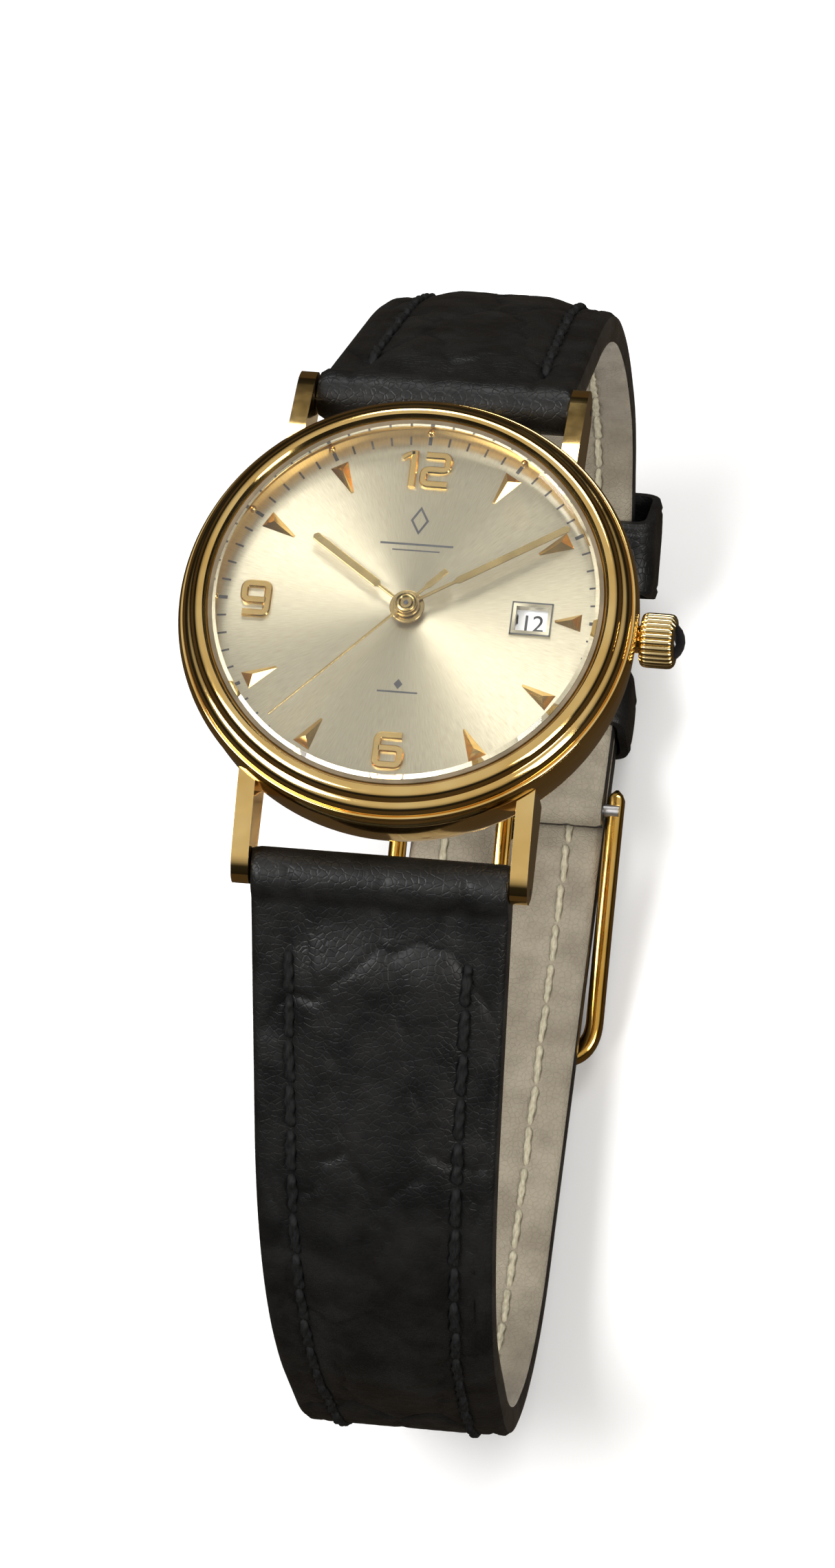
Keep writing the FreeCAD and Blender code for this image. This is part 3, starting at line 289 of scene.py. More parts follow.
def rounded(corners, radius, closed=True, steps=5):
    """Outline with each corner eased by a small curve."""
    result = []
    for index, corner in enumerate(corners):
        here = Vector(corner[:2])
        own = corner[2] if len(corner) == 3 else radius
        if not closed and index in (0, len(corners) - 1) or own == 0:
            result.append(here)
            continue
        back = Vector(corners[index - 1][:2]) - here
        ahead = Vector(corners[(index + 1) % len(corners)][:2]) - here
        cut = min(own, 0.45 * back.length, 0.45 * ahead.length)
        start, end = here + back.normalized() * cut, here + ahead.normalized() * cut
        for step in range(steps + 1):
            t = step / steps
            result.append(start * (1 - t) ** 2 + here * 2 * t * (1 - t) + end * t * t)
    return result


def roll(start, end, bulge, steps=12):
    """Convex moulding between two points of a turned profile."""
    start, end = Vector(start), Vector(end)
    across = (end - start).normalized()
    outward = Vector((across.y, -across.x))
    shares = np.linspace(0, 1, steps + 1)
    return [tuple(start.lerp(end, t) + outward * bulge * 4 * t * (1 - t)) for t in shares]


def skin(rings, closed_path=False, caps=True):
    """Faces over a row of rings that have the same number of points."""
    count, size = len(rings), len(rings[0])
    points = [point for ring in rings for point in ring]
    faces = []
    for i in range(count if closed_path else count - 1):
        first, second = i * size, (i + 1) % count * size
        for j in range(size):
            k = (j + 1) % size
            faces.append((first + j, first + k, second + k, second + j))
    if caps and not closed_path:
        faces.append(tuple(range(size)))
        faces.append(tuple(range((count - 1) * size, count * size)))
    return points, faces


def lathe(name, profile, materials, body, replaced=(), slot=None, segments=288, sharp=35.0):
    rings = []
    for index in range(segments):
        angle = 2 * math.pi * index / segments
        rings.append([(r * math.cos(angle), r * math.sin(angle), z) for r, z in profile])
    points, faces = skin(rings, closed_path=True)
    return piece(name, points, faces, materials, body, replaced, slot, sharp=sharp)


def plate(outline, low, high):
    """Closed flat plate between two heights, from an outline in the dial's plane."""
    points = [(x, y, low) for x, y in outline] + [(x, y, high) for x, y in outline]
    size = len(outline)
    faces = [tuple(range(size))[::-1], tuple(range(size, 2 * size))]
    faces += [(j, (j + 1) % size, (j + 1) % size + size, j + size) for j in range(size)]
    return points, faces


def merged(parts):
    points, faces = [], []
    for some_points, some_faces in parts:
        start = len(points)
        points += some_points
        faces += [tuple(index + start for index in face) for face in some_faces]
    return points, faces


def turned(part, degrees):
    """The same points turned clockwise on the dial."""
    angle = math.radians(-degrees)
    c, s = math.cos(angle), math.sin(angle)
    points, faces = part
    return [(x * c - y * s, x * s + y * c, z) for x, y, z in points], faces


def smooth_step(value):
    value = np.clip(value, 0.0, 1.0)
    return value * value * (3 - 2 * value)


# ---------------------------------------------------------------- case
def build_case():
    lathe("case_band", rounded([(10.9, 0.5), (11.75, 0.5), (12.1, 1.4, 0.8), (12.28, 2.6, 0.9), (12.28, 4.18),
                                (11.5, 4.18), (11.5, 4.9), (10.9, 4.9)], 0.07), [GOLD], "case",
          ["case_middle"], "gold_case")
    side = rounded([(9.2, 0.75, 0), (14.2, 0.15, 0.5), (15.2, 1.15, 1.0), (15.2, 2.05, 0.7), (14.35, 2.9, 0.9),
                    (10.6, 4.1, 1.5), (9.2, 4.3, 0)], 0.2, steps=6)
    lugs = []
    for x_side in (-1, 1):
        for y_side in (-1, 1):
            ring_in = [(x_side * 7.1, y_side * y, z) for y, z in side]
            ring_out = [(x_side * 8.05, y_side * y, z) for y, z in side]
            lugs.append(skin([ring_in, ring_out]))
            # Each spring-bar hole is a black disc a hair below the lug face: painted shade where the real hole is
            # dark inside.
            hole = [(x_side * 8.06, y_side * 14.3 + 0.2 * math.cos(a), 1.0 + 0.2 * math.sin(a))
                    for a in np.linspace(0, 2 * math.pi, 20, endpoint=False)]
            sunk = [(x_side * 8.055, y, z) for _, y, z in hole]
            lugs.append(skin([sunk, hole]))
    points, faces = merged(lugs)
    # The disc faces take the black material as painted hole shade; the rest of each lug stays gold.
    holes = [1 if max(abs(points[i][0]) for i in face) > 8.052 and
             max(abs(abs(points[i][1]) - 14.3) for i in face) < 0.25 else 0 for face in faces]
    piece("lugs", points, faces, [GOLD, PRINT_AND_HOLE_SHADE], "case", slot="gold_case", kinds=holes, bevel=0.13)
    rings = [(10.76, 5.6), (11.45, 5.6), (11.45, 4.2), (12.4, 4.2), (12.52, 4.34)]
    rings += roll((12.54, 4.4), (12.44, 5.0), 0.03) + roll((12.42, 5.02), (12.24, 5.16), 0.06)
    rings += roll((12.22, 5.14), (11.74, 5.86), 0.17) + roll((11.71, 5.88), (11.02, 6.42), 0.2)
    rings += [(10.9, 6.3), (10.76, 6.12)]
    lathe("bezel_rings", rings, [GOLD], "case", ["bezel"], "gold_case", segments=384, sharp=28)
    lathe("inner_flange", rounded([(10.84, 4.52), (10.97, 4.52), (10.97, 5.58), (10.5, 5.58), (10.5, 5.5),
                                   (10.78, 5.36)], 0.02), [GOLD], "case", ["flange_ring"], "gold_case")


def build_crown():
    stations = [(12.62, 1.0), (12.62, 1.3), (12.68, 1.4), (12.82, 1.48), (13.0, 1.5), (14.1, 1.5), (14.3, 1.47),
                (14.42, 1.38), (14.5, 1.24), (14.5, 1.05), (14.3, 1.0), (14.25, 0.0)]
    flutes, per = 26, 10
    rings = []
    for x, radius in stations:
        depth = 0.13 if 1.35 < radius else 0.05 if radius > 1.2 else 0.0
        ring = []
        for index in range(flutes * per):
            angle = 2 * math.pi * index / (flutes * per)
            wave = abs(math.sin(angle * flutes / 2))
            r = radius - depth * (1 - wave ** 0.55)
            ring.append((x, r * math.cos(angle), 3.2 + r * math.sin(angle)))
        rings.append(ring)
    points, faces = skin(rings)
    piece("crown_knob", points, faces, [GOLD_CROWN], "crown", ["crown"], "gold_case", sharp=50)
    dome = [(14.28, 0.98), (14.42, 0.98), (14.6, 0.9), (14.8, 0.68), (14.94, 0.38), (15.01, 0.0)]
    rings = []
    for x, radius in dome:
        rings.append([(x, radius * math.cos(a), 3.2 + radius * math.sin(a))
                      for a in np.linspace(0, 2 * math.pi, 96, endpoint=False)])
    points, faces = skin(rings)
    piece("crown_cap", points, faces, [ONYX], "crown", ["crown_cabochon"], sharp=60)


# ---------------------------------------------------------------- dial
def bar(x0, y0, x1, y1, low, high):
    return plate([(x0, y0), (x1, y0), (x1, y1), (x0, y1)], low, high)


def build_prints():
    low, high = DIAL_TOP + 0.001, DIAL_TOP + 0.008
    ticks = []
    for minute in range(60):
        half = 0.1 if minute % 5 == 0 else 0.055
        ticks.append(turned(bar(-half, 9.89, half, 10.39, low, high), 6 * minute))
    points, faces = merged(ticks)
    piece("minute_track", points, faces, [PRINT_AND_HOLE_SHADE], "case")
    lozenge = [(0, 0.85), (0.5, 0), (0, -0.85), (-0.5, 0)]
    inner = [(0, 0.62), (0.36, 0), (0, -0.62), (-0.36, 0)]
    ring = []
    for k in range(4):
        quad = [lozenge[k], lozenge[(k + 1) % 4], inner[(k + 1) % 4], inner[k]]
        ring.append(plate([(x, y + 5.35) for x, y in quad], low, high))
    ring.append(bar(-2.0, 3.86, 2.0, 3.98, low, high))
    ring.append(bar(-1.3, 3.52, 1.3, 3.6, low, high))
    ring.append(bar(-1.1, -4.86, 1.1, -4.76, low, high))
    ring.append(plate([(0, -4.05), (0.24, -4.35), (0, -4.65), (-0.24, -4.35)], low, high))
    points, faces = merged(ring)
    piece("dial_ornament", points, faces, [PRINT_AND_HOLE_SHADE], "case")
    x0, x1, y1, line = 6.74 - 1.12, 6.74 + 1.12, 0.97, 0.08
    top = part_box("date_window_frame")[1].z / MM
    frame_lines = [bar(x0, y1 - line, x1, y1, top - 0.02, top + 0.006),
                   bar(x0, -y1, x1, -y1 + line, top - 0.02, top + 0.006),
                   bar(x0, -y1, x0 + line, y1, top - 0.02, top + 0.006),
                   bar(x1 - line, -y1, x1, y1, top - 0.02, top + 0.006)]
    points, faces = merged(frame_lines)
    piece("date_window_line", points, faces, [PRINT_AND_HOLE_SHADE], "case")


def stroke(path, width, radius=0.32):
    """Outline of a ribbon of even width along a path with eased corners."""
    line = rounded(path, radius, closed=False, steps=7)
    left, right = [], []
    for index, point in enumerate(line):
        before, after = line[max(index - 1, 0)], line[min(index + 1, len(line) - 1)]
        along = (after - before).normalized()
        normal = Vector((-along.y, along.x)) * width / 2
        left.append(point + normal)
        right.append(point - normal)
    return left, right


def ribbon(path, width, low, high, radius=0.32):
    """Flat-topped ribbon with sloping edges."""
    left, right = stroke(path, width, radius)
    inner_left, inner_right = stroke(path, width - 0.13, radius)
    rings = []
    for a, b, c, d in zip(left, inner_left, inner_right, right):
        rings.append([(a.x, a.y, low), (a.x, a.y, high - 0.07), (b.x, b.y, high), (c.x, c.y, high),
                      (d.x, d.y, high - 0.07), (d.x, d.y, low)])
    return skin(rings)


def build_numerals():
    low, high = DIAL_TOP, DIAL_TOP + 0.24
    w, h = 1.3, 1.72
    two = [(0.05, h), (w, h), (w, h / 2), (0, h / 2), (0, 0), (w + 0.05, 0)]
    six = [(w, h), (0, h), (0, 0), (w, 0), (w, h / 2 + 0.1), (0.1, h / 2 + 0.1)]
    one = [(-0.3, h - 0.26), (0.12, h - 0.03), (0.28, h), (0.28, 0)]

    def shifted(path, x, y, flip=1):
        return [(x + px * flip, y + py * flip) for px, py in path]

    twelve = merged([ribbon([(-1.35, 8.98), (-1.05, 9.2), (-0.72, 9.3)], 0.3, low, high, 0.2),
                     ribbon([(-0.72, 9.42), (-0.72, 7.27)], 0.42, low, high),
                     ribbon(shifted(two, -0.12, 7.49), 0.42, low, high)])
    piece("figure_12", *twelve, [GOLD_PALE], "case", ["numeral_12"], "gold_applied")
    piece("figure_6", *ribbon(shifted(six, -0.68, -9.16), 0.42, low, high), [GOLD_PALE], "case",
          ["numeral_6"], "gold_applied")
    piece("figure_9", *ribbon(shifted(six, -7.68, 0.86, -1), 0.42, low, high), [GOLD_PALE], "case",
          ["numeral_9"], "gold_applied")


def baton(stem, half, root, neck, end, tip):
    """Outline of a hand that points to 12: a thin stem from its root to the neck, then a wider blade."""
    shoulder = neck + 0.2
    return [(-stem, root), (stem, root), (stem, neck), (half, shoulder), (half, end), (0, tip), (-half, end),
            (-half, shoulder), (-stem, neck)]


def build_hands():
    """Flat baton hands with bevelled edges, each on its own turned hub."""
    hour = baton(0.1, 0.25, 0.5, 2.0, 6.66, 6.82)
    minute = baton(0.09, 0.2, 0.3, 2.9, 9.7, 9.83)
    second = [(-0.16, -2.88), (0.16, -2.88), (0.16, -1.55), (0.07, -1.35), (0.04, 9.68), (-0.04, 9.68),
              (-0.07, -1.35), (-0.16, -1.55)]
    for name, body, node, outline, radius, shown, bevel in (
            ("hour_baton", "hours", "hour_hand", hour, 0.95, 50 + MINUTE_SHOWN / 12, 0.05),
            ("minute_baton", "minutes", "minute_hand", minute, 0.72, MINUTE_SHOWN, 0.045),
            ("second_needle", "seconds", "second_hand", second, 0.6, SECOND_SHOWN, 0.015)):
        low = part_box(node)[0].z / MM
        blade = turned(plate(outline, low, low + 0.11), 6 * shown)
        rim = [(radius * math.cos(a), radius * math.sin(a)) for a in np.linspace(0, 2 * math.pi, 72)[:-1]]
        hub = plate(rim, low + 0.001, low + 0.16)
        piece(name, *merged([blade, hub]), [GOLD_HANDS], body, [node], "gold_applied", bevel=bevel)


def build_hub():
    """Turned cap on the second hand's hub, with a ring and a dark pin at its centre."""
    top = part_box("second_hand")[1].z / MM
    lathe("hub_ring", rounded([(0.3, top), (0.58, top), (0.55, top + 0.06), (0.42, top + 0.1), (0.3, top + 0.04)],
                              0.03), [GOLD_HANDS], "seconds", segments=96)
    lathe("hub_pin", rounded([(0.0, top, 0), (0.13, top), (0.13, top + 0.05), (0.0, top + 0.07, 0)], 0.02),
          [PRINT_AND_HOLE_SHADE], "seconds", segments=48)


def build_date_figures():
    """The numbers 1 to 31 printed round the date ring, 12 standing in the window."""
    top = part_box("date_ring")[1].z / MM
    step = 360 / 31
    for day in range(1, 32):
        text = bpy.data.curves.new(f"date_{day}", "FONT")
        text.body = str(day)
        text.size = 1.36
        text.space_character = 0.95
        text.align_x = text.align_y = "CENTER"
        text.extrude = 0.003
        text.offset = 0.006
        item = bpy.data.objects.new(f"date_{day}", text)
        bpy.context.scene.collection.objects.link(item)
        mesh = bpy.data.meshes.new_from_object(item)
        bpy.data.objects.remove(item)
        angle = math.radians((day - 12) * step)
        matrix = (Matrix.Rotation(angle, 4, "Z") @ Matrix.Translation((6.72, 0, top + 0.004)))
        mesh.transform(Matrix.Scale(MM, 4) @ matrix)
        mesh.materials.clear()
        mesh.materials.append(PRINT_AND_HOLE_SHADE)
        number = bpy.data.objects.new(f"date_figure_{day}", mesh)
        bpy.context.scene.collection.objects.link(number)
        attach(number, "date_ring")


# ---------------------------------------------------------------- strap paths
TURN_CENTRE, TURN_RADIUS, LAYER = (19.8, -34.5), 12.0, 2.1
SLOPE = math.radians(2.5)
BAR_Y, BAR_Z, BUCKLE_BAR_Y = 14.3, 1.0, 10.0


class Path:
    """A line of straights and bends in the YZ plane, with its outward side."""

    def __init__(self, start, heading, runs, outward):
        self.start, self.heading, self.runs, self.outward = start, math.radians(heading), runs, outward
        self.length = sum(run if turn == 0 else run * abs(math.radians(turn)) for run, turn in runs)

    def at(self, s):
        """Middle point (y, z) and outward normal at a distance from the start."""
        (y, z), angle = self.start, self.heading
        left = s
        for index, (run, turn) in enumerate(self.runs):
            turn = math.radians(turn)
            length = run if turn == 0 else run * abs(turn)
            last = index == len(self.runs) - 1
            used = left if (left <= length or last) else length
            if turn == 0 or used < 0:
                y += used * math.cos(angle)
                z += used * math.sin(angle)
            else:
                side = math.copysign(1, turn)
                cy, cz = y - side * run * math.sin(angle), z + side * run * math.cos(angle)
                angle += side * used / run
                y, z = cy + side * run * math.sin(angle), cz - side * run * math.cos(angle)
            left -= used
            if left <= 1e-9:
                break
        normal = (-math.sin(angle) * self.outward, math.cos(angle) * self.outward)
        return (y, z), normal


def short_path():
    across = TURN_CENTRE[0] + TURN_RADIUS - BAR_Y
    first = (across - 34.75 * (1 - math.sin(math.radians(50)))) / math.cos(math.radians(50))
    drop = BAR_Z - first * math.sin(math.radians(50)) - 34.75 * math.cos(math.radians(50)) - TURN_CENTRE[1]
    last = (TURN_CENTRE[0] - TURN_RADIUS * math.sin(SLOPE) - BUCKLE_BAR_Y) / math.cos(SLOPE)
    runs = [(first, 0), (34.75, -40.0), (drop, 0), (TURN_RADIUS, -92.5), (last, 0)]
    return Path((BAR_Y, BAR_Z), -50.0, runs, 1)


def long_path():
    first, front, corner, turn = 15.0, 25.4, 14.0, TURN_RADIUS + LAYER
    diagonal = math.sqrt(0.5)
    front_y = -BAR_Y - first * diagonal - front * (1 - diagonal)
    front_z = BAR_Z - (first + front) * diagonal
    corner_y = front_y + corner * (1 - math.sin(SLOPE))
    corner_z = front_z - corner * math.cos(SLOPE)
    drop = (turn + (corner_y - TURN_CENTRE[0]) * math.sin(SLOPE)) / math.cos(SLOPE) + corner_z - TURN_CENTRE[1]
    flat = (TURN_CENTRE[0] - turn * math.sin(SLOPE) - corner_y) / math.cos(SLOPE)
    return Path((-BAR_Y, BAR_Z), 225.0, [(first, 0), (front, 45.0), (drop, 0), (corner, 87.5), (flat, 0),
                                         (turn, 42.0)], -1)


def half_width(z):
    return np.interp(z, [-41.0, -24.0, 0.0], [5.75, 6.15, 7.0])


# ---------------------------------------------------------------- strap
def scales(s, x, seed):
    """Height in millimetres of the embossed reptile pattern: pillowy scales with creases between."""
    rng = random.Random(seed)
    seeds = []
    for row in range(-1, 14):
        for column in (-1.5, -0.5, 0.5, 1.5):
            shift = 0.5 if row % 2 else 0.0
            seeds.append((row * 11.5 + rng.uniform(-3.5, 3.5), (column + shift) * 4.9 + rng.uniform(-1.0, 1.0)))
    near = np.full(s.shape, 1e9)
    second = np.full(s.shape, 1e9)
    wobble = 0.35 * np.sin(s * 1.7 + 2.1 * np.sin(x * 0.9)) + 0.18 * np.sin(x * 3.1 + s * 2.3)
    for seed_s, seed_x in seeds:
        gap = np.hypot((s + wobble - seed_s) * 0.45, x + 0.5 * wobble - seed_x)
        second = np.minimum(second, np.maximum(gap, near))
        near = np.minimum(near, gap)
    edge = (second - near) / 2
    crease = -0.13 * np.exp(-(edge / 0.11) ** 2) - 0.05 * np.exp(-(edge / 0.4) ** 2)
    fine = 0.012 * np.sin(s * 5.3 + 2 * np.sin(x * 2.2)) * np.sin(x * 4.1 + 1.4 * np.sin(s * 1.1))
    return crease + fine


class Strap:
    """One strap half as a grid of stations along the path and columns across the strap."""

    def __init__(self, path, seed, pad_end, start_roll, end_roll, tip, flat=0.95):
        self.path, self.seed, self.pad_end = path, seed, pad_end
        self.start_roll, self.end_roll, self.tip, self.flat = start_roll, end_roll, tip, flat
        self.end = path.length + (end_roll or 0)

    def half(self, s):
        (_, z), _ = self.path.at(min(max(s, 0), self.path.length))
        wide = float(half_width(z))
        if self.tip and s > self.end - self.tip:
            wide *= math.sqrt(max(1e-4, 1 - ((s - self.end + self.tip) / self.tip) ** 2.2))
        return wide

    def thickness(self, s):
        """Half thickness of the plain band, with the rolls at its ends."""
        def roll(distance, radius):
            return np.sqrt(np.maximum(radius ** 2 - distance ** 2, 0))
        band = np.where(s < 0, 0.0, self.flat)
        if self.end_roll:
            band = np.where(s > self.path.length, 0.0, band)
            band = (band ** 6 + roll(s - self.path.length, self.end_roll) ** 6) ** (1 / 6)
        elif self.tip:
            band = band * np.sqrt(np.clip((self.end - s) / 0.9, 0.02, 1))
        return (band ** 6 + roll(s, self.start_roll) ** 6) ** (1 / 6)

    def outer(self, s, x, wide):
        pad = smooth_step((s - 2.0) / 3.5) * (1 - smooth_step((s - self.pad_end + 8) / 8))
        inset = wide - np.abs(x)
        dome = smooth_step((inset - 1.5) / 2.6) * 0.66 + 0.14 * smooth_step(inset / 1.4)
        full = smooth_step((s + self.start_roll) / 1.6)
        height = self.thickness(s) + 0.8 * pad * dome
        height += full * scales(s, x, self.seed) * smooth_step((inset - 0.15) / 0.5)
        height -= full * 0.16 * np.exp(-((inset - 2.05) / 0.24) ** 2) * smooth_step((s - 2.5) / 1.5)
        height -= full * 0.06 * np.exp(-((inset - 0.95) / 0.12) ** 2) * smooth_step((s - 2.5) / 1.5)
        return height - 0.22 * (1 - smooth_step(inset / 0.35)) * full

    def inner(self, s, x, wide):
        inset = wide - np.abs(x)
        depth = self.thickness(s) - 0.1 * np.exp(-((inset - 2.05) / 0.22) ** 2) * smooth_step((s - 2.5) / 1.5)
        return -(depth - 0.2 * (1 - smooth_step(inset / 0.35)))

    def build(self, name, replaced, holes, spacing=0.2, columns=64):
        roll = self.start_roll
        head = [-roll * math.cos(a) for a in np.linspace(0, math.pi / 2, 9)[:-1]]
        if self.end_roll:
            body = list(np.arange(0, self.path.length, spacing))
            tail = [self.path.length + self.end_roll * math.sin(a) for a in np.linspace(0, math.pi / 2, 8)]
        else:
            body = list(np.arange(0, self.end - 1.0, spacing))
            tail = [self.end - 0.9 * (1 - t) ** 2 for t in np.linspace(0, 1, 9)]
        stations = np.array(head + body + tail)
        wides = np.array([self.half(s) for s in stations])
        crowded = np.sin(np.linspace(-math.pi / 2, math.pi / 2, columns + 1))
        share = crowded * 0.25 + np.linspace(-1, 1, columns + 1) * 0.75
        s = np.repeat(stations[:, None], columns + 1, axis=1)
        x = wides[:, None] * share[None, :]
        open_cells = np.zeros((len(stations) - 1, columns), bool)
        for hole_s, hole_x, long_radius, cross_radius in holes:
            ds, dx = (s - hole_s), (x - hole_x)
            over = np.maximum(np.abs(ds) - (long_radius - cross_radius), 0)
            reach = np.hypot(over, dx)
            inside = reach < cross_radius
            cells = inside[:-1, :-1] & inside[1:, :-1] & inside[:-1, 1:] & inside[1:, 1:]
            open_cells |= cells
            rim = np.zeros(inside.shape, bool)
            for a, b in ((0, 0), (1, 0), (0, 1), (1, 1)):
                rim[a:a + cells.shape[0], b:b + cells.shape[1]] |= cells
            deep = np.zeros(inside.shape, int)
            for a, b in ((0, 0), (1, 0), (0, 1), (1, 1)):
                deep[a:a + cells.shape[0], b:b + cells.shape[1]] += cells
            rim &= deep < 4
            factor = np.where(rim & (reach > 1e-6), cross_radius / np.maximum(reach, 1e-6), 1.0)
            x = np.where(rim, hole_x + dx * factor, x)
            rounded_s = hole_s + np.sign(ds) * (long_radius - cross_radius + over * factor)
            s = np.where(rim & (over > 0), rounded_s, s)
        wide = wides[:, None] + 0 * x
        top, bottom = self.outer(s, x, wide), self.inner(s, x, wide)
        return self.mesh(name, replaced, s, x, top, bottom, open_cells)

    def mesh(self, name, replaced, s, x, top, bottom, open_cells):
        rows, cols = s.shape
        points, faces, kinds = [], [], []
        for grid in (top, bottom):
            for i in range(rows):
                for j in range(cols):
                    (y, z), (ny, nz) = self.path.at(float(s[i, j]))
                    height = float(grid[i, j])
                    points.append((float(x[i, j]), y + ny * height, z + nz * height))
        under = rows * cols

        def index(i, j, layer):
            return layer * under + i * cols + j

        for i in range(rows - 1):
            for j in range(cols - 1):
                if open_cells[i, j]:
                    continue
                for layer, kind in ((0, 0), (1, 2 if s[i, j] > self.start_roll + 0.5 else 0)):
                    faces.append((index(i, j, layer), index(i + 1, j, layer), index(i + 1, j + 1, layer),
                                  index(i, j + 1, layer)))
                    kinds.append(kind)
                for di, dj, a, b in ((-1, 0, (i, j), (i, j + 1)), (1, 0, (i + 1, j), (i + 1, j + 1)),
                                     (0, -1, (i, j), (i + 1, j)), (0, 1, (i, j + 1), (i + 1, j + 1))):
                    ni, nj = i + di, j + dj
                    if 0 <= ni < rows - 1 and 0 <= nj < cols - 1 and open_cells[ni, nj]:
                        faces.append((index(*a, 0), index(*b, 0), index(*b, 1), index(*a, 1)))
                        kinds.append(1)
        for j in (0, cols - 1):
            outwards = -1 if j == 0 else 1
            previous = [index(i, j, 0) for i in range(rows)]
            for share in (0.25, 0.5, 0.75):
                layer_start = len(points)
                for i in range(rows):
                    a, b = Vector(points[index(i, j, 0)]), Vector(points[index(i, j, 1)])
                    mid = a.lerp(b, share)
                    mid.x += outwards * 0.1 * math.sin(math.pi * share)
                    points.append(tuple(mid))
                current = [layer_start + i for i in range(rows)]
                for i in range(rows - 1):
                    faces.append((previous[i], previous[i + 1], current[i + 1], current[i]))
                    kinds.append(1)
                previous = current
            current = [index(i, j, 1) for i in range(rows)]
            for i in range(rows - 1):
                faces.append((previous[i], previous[i + 1], current[i + 1], current[i]))
                kinds.append(1)
        for i in (0, rows - 1):
            for j in range(cols - 1):
                faces.append((index(i, j, 0), index(i, j + 1, 0), index(i, j + 1, 1), index(i, j, 1)))
                kinds.append(1)
        return piece(name, points, faces, [BLACK_LEATHER, EDGE_PAINT, LINING], "case", replaced,
                     "leather_black", kinds=kinds, sharp=70)

    def stitches(self, name, material, start, end, side_inset, outer, pitch=2.65, slot=None):
        """A row of two-ply stitches along each edge, each dipping into the leather at its ends."""
        parts = []
        rng = random.Random(self.seed + (1 if outer else 2))
        for side in (-1, 1):
            place = start
            while place + pitch < end:
                parts.append(self.stitch(place + 0.04, place + pitch - 0.05, side, side_inset, outer, rng))
                place += pitch
        points, faces = merged(parts)
        return piece(name, points, faces, [material], "case", slot=slot, sharp=60)

    def stitch(self, begin, finish, side, side_inset, outer, rng):
        rings, steps, around = [], 22, 12
        lean, thick = rng.uniform(-0.06, 0.06), (0.27 if outer else 0.19) * rng.uniform(0.93, 1.05)
        for step in range(steps + 1):
            t = step / steps
            s = begin + (finish - begin) * t
            (y, z), (ny, nz) = self.path.at(s)
            wide = np.array([self.half(s)])
            x = side * (float(wide[0]) - side_inset + lean * (2 * t - 1))
            level = self.outer(np.array([s]), np.array([x]), wide) if outer else self.inner(
                np.array([s]), np.array([x]), wide)
            swell = min(1.0, 6.5 * t, 6.5 * (1 - t)) ** 0.5
            height = float(level[0]) + (1 if outer else -1) * thick * (0.85 * swell - 0.2)
            ring = []
            for k in range(around):
                angle = 2 * math.pi * k / around
                radius = thick * (0.25 + 0.75 * swell) * (1 + 0.17 * math.cos(2 * angle - 15.0 * t))
                ring.append((x + radius * math.cos(angle), y + ny * (height + radius * 0.8 * math.sin(angle)),
                             z + nz * (height + radius * 0.8 * math.sin(angle))))
            rings.append(ring)
        return skin(rings)


def hole_place(path, y):
    """Distance along the long strap's flat run at which it passes a given y."""
    places = np.arange(path.length * 0.5, path.length * 0.92, 0.02)
    return float(min(places, key=lambda s: abs(path.at(s)[0][0] - y)))


def build_straps():
    short, long = short_path(), long_path()
    upper = Strap(short, 5, short.runs[0][0] + short.runs[1][0] * math.radians(40), 1.4, 1.1, 0)
    notch = (short.length - 0.2, 0.0, 2.4, 0.75)
    band = upper.build("short_strap", ["short_strap_leather", "short_strap_padding", "short_strap_lining"],
                       [notch])
    lower = Strap(long, 11, long.runs[0][0] + long.runs[1][0] * math.radians(45) + 6, 1.4, None, 9.0)
    holes = [(hole_place(long, 2.3 + 6.4 * step), 0.0, 0.75, 0.75) for step in (-3, -2, -1, 1)]
    holes.append((hole_place(long, 2.3), 0.0, 1.6, 0.75))
    band = lower.build("long_strap", ["long_strap_leather", "long_strap_padding", "long_strap_lining"], holes)
    upper.stitches("short_strap_stitches", BLACK_THREAD, 4.2, short.length - 4.5, 2.05, True)
    upper.stitches("short_strap_lining_stitches", BEIGE_THREAD, 4.2, short.length - 4.5, 2.05, False)
    lower.stitches("long_strap_stitches", BLACK_THREAD, 4.0, long.length - 10.5, 2.05, True)
    lower.stitches("long_strap_lining_stitches", BEIGE_THREAD, 4.0, long.length - 10.5, 2.05, False)
    return short, long


# ---------------------------------------------------------------- keepers and buckle
def keeper(name, path, middle, length, half, low, high, body, node, seed):
    """Leather loop round both strap layers, with a rounded section and a pressed line near each edge."""
    thick, corner = 0.75, 1.1
    centre = rounded([(-half - thick / 2, low - thick / 2), (half + thick / 2, low - thick / 2),
                      (half + thick / 2, high + thick / 2), (-half - thick / 2, high + thick / 2)], corner, steps=8)
    dense = []
    for index, point in enumerate(centre):
        after = centre[(index + 1) % len(centre)]
        pieces = max(1, int((after - point).length / 0.35))
        dense += [point.lerp(after, k / pieces) for k in range(pieces)]
    across = np.concatenate([np.linspace(-1, 1, 29), np.linspace(1, -1, 29)])
    rng = random.Random(seed)
    phase = rng.uniform(0, 6)
    rings = []
    for index, point in enumerate(dense):
        before, after = dense[index - 1], dense[(index + 1) % len(dense)]
        along = (after - before).normalized()
        normal = Vector((along.y, -along.x))
        ring = []
        for k, share in enumerate(across):
            outside = k < 29
            edge = 1 - abs(share)
            half_thick = thick / 2 * (1 - 0.35 * (1 - smooth_step(edge / 0.14)))
            if outside:
                half_thick -= 0.07 * math.exp(-((edge * length / 2 - 0.55) / 0.1) ** 2)
                half_thick += 0.025 * math.sin(index * 0.35 + 3 * share + phase) * min(1, edge * 4)
            spot = point + normal * (half_thick if outside else -half_thick)
            (y, z), (ny, nz) = path.at(middle + share * length / 2)
            ring.append((spot.x, y + ny * spot.y, z + nz * spot.y))
        rings.append(ring)
    points, faces = skin(rings, closed_path=True)
    return piece(name, points, faces, [BLACK_LEATHER], body, [node], "leather_black", sharp=60)


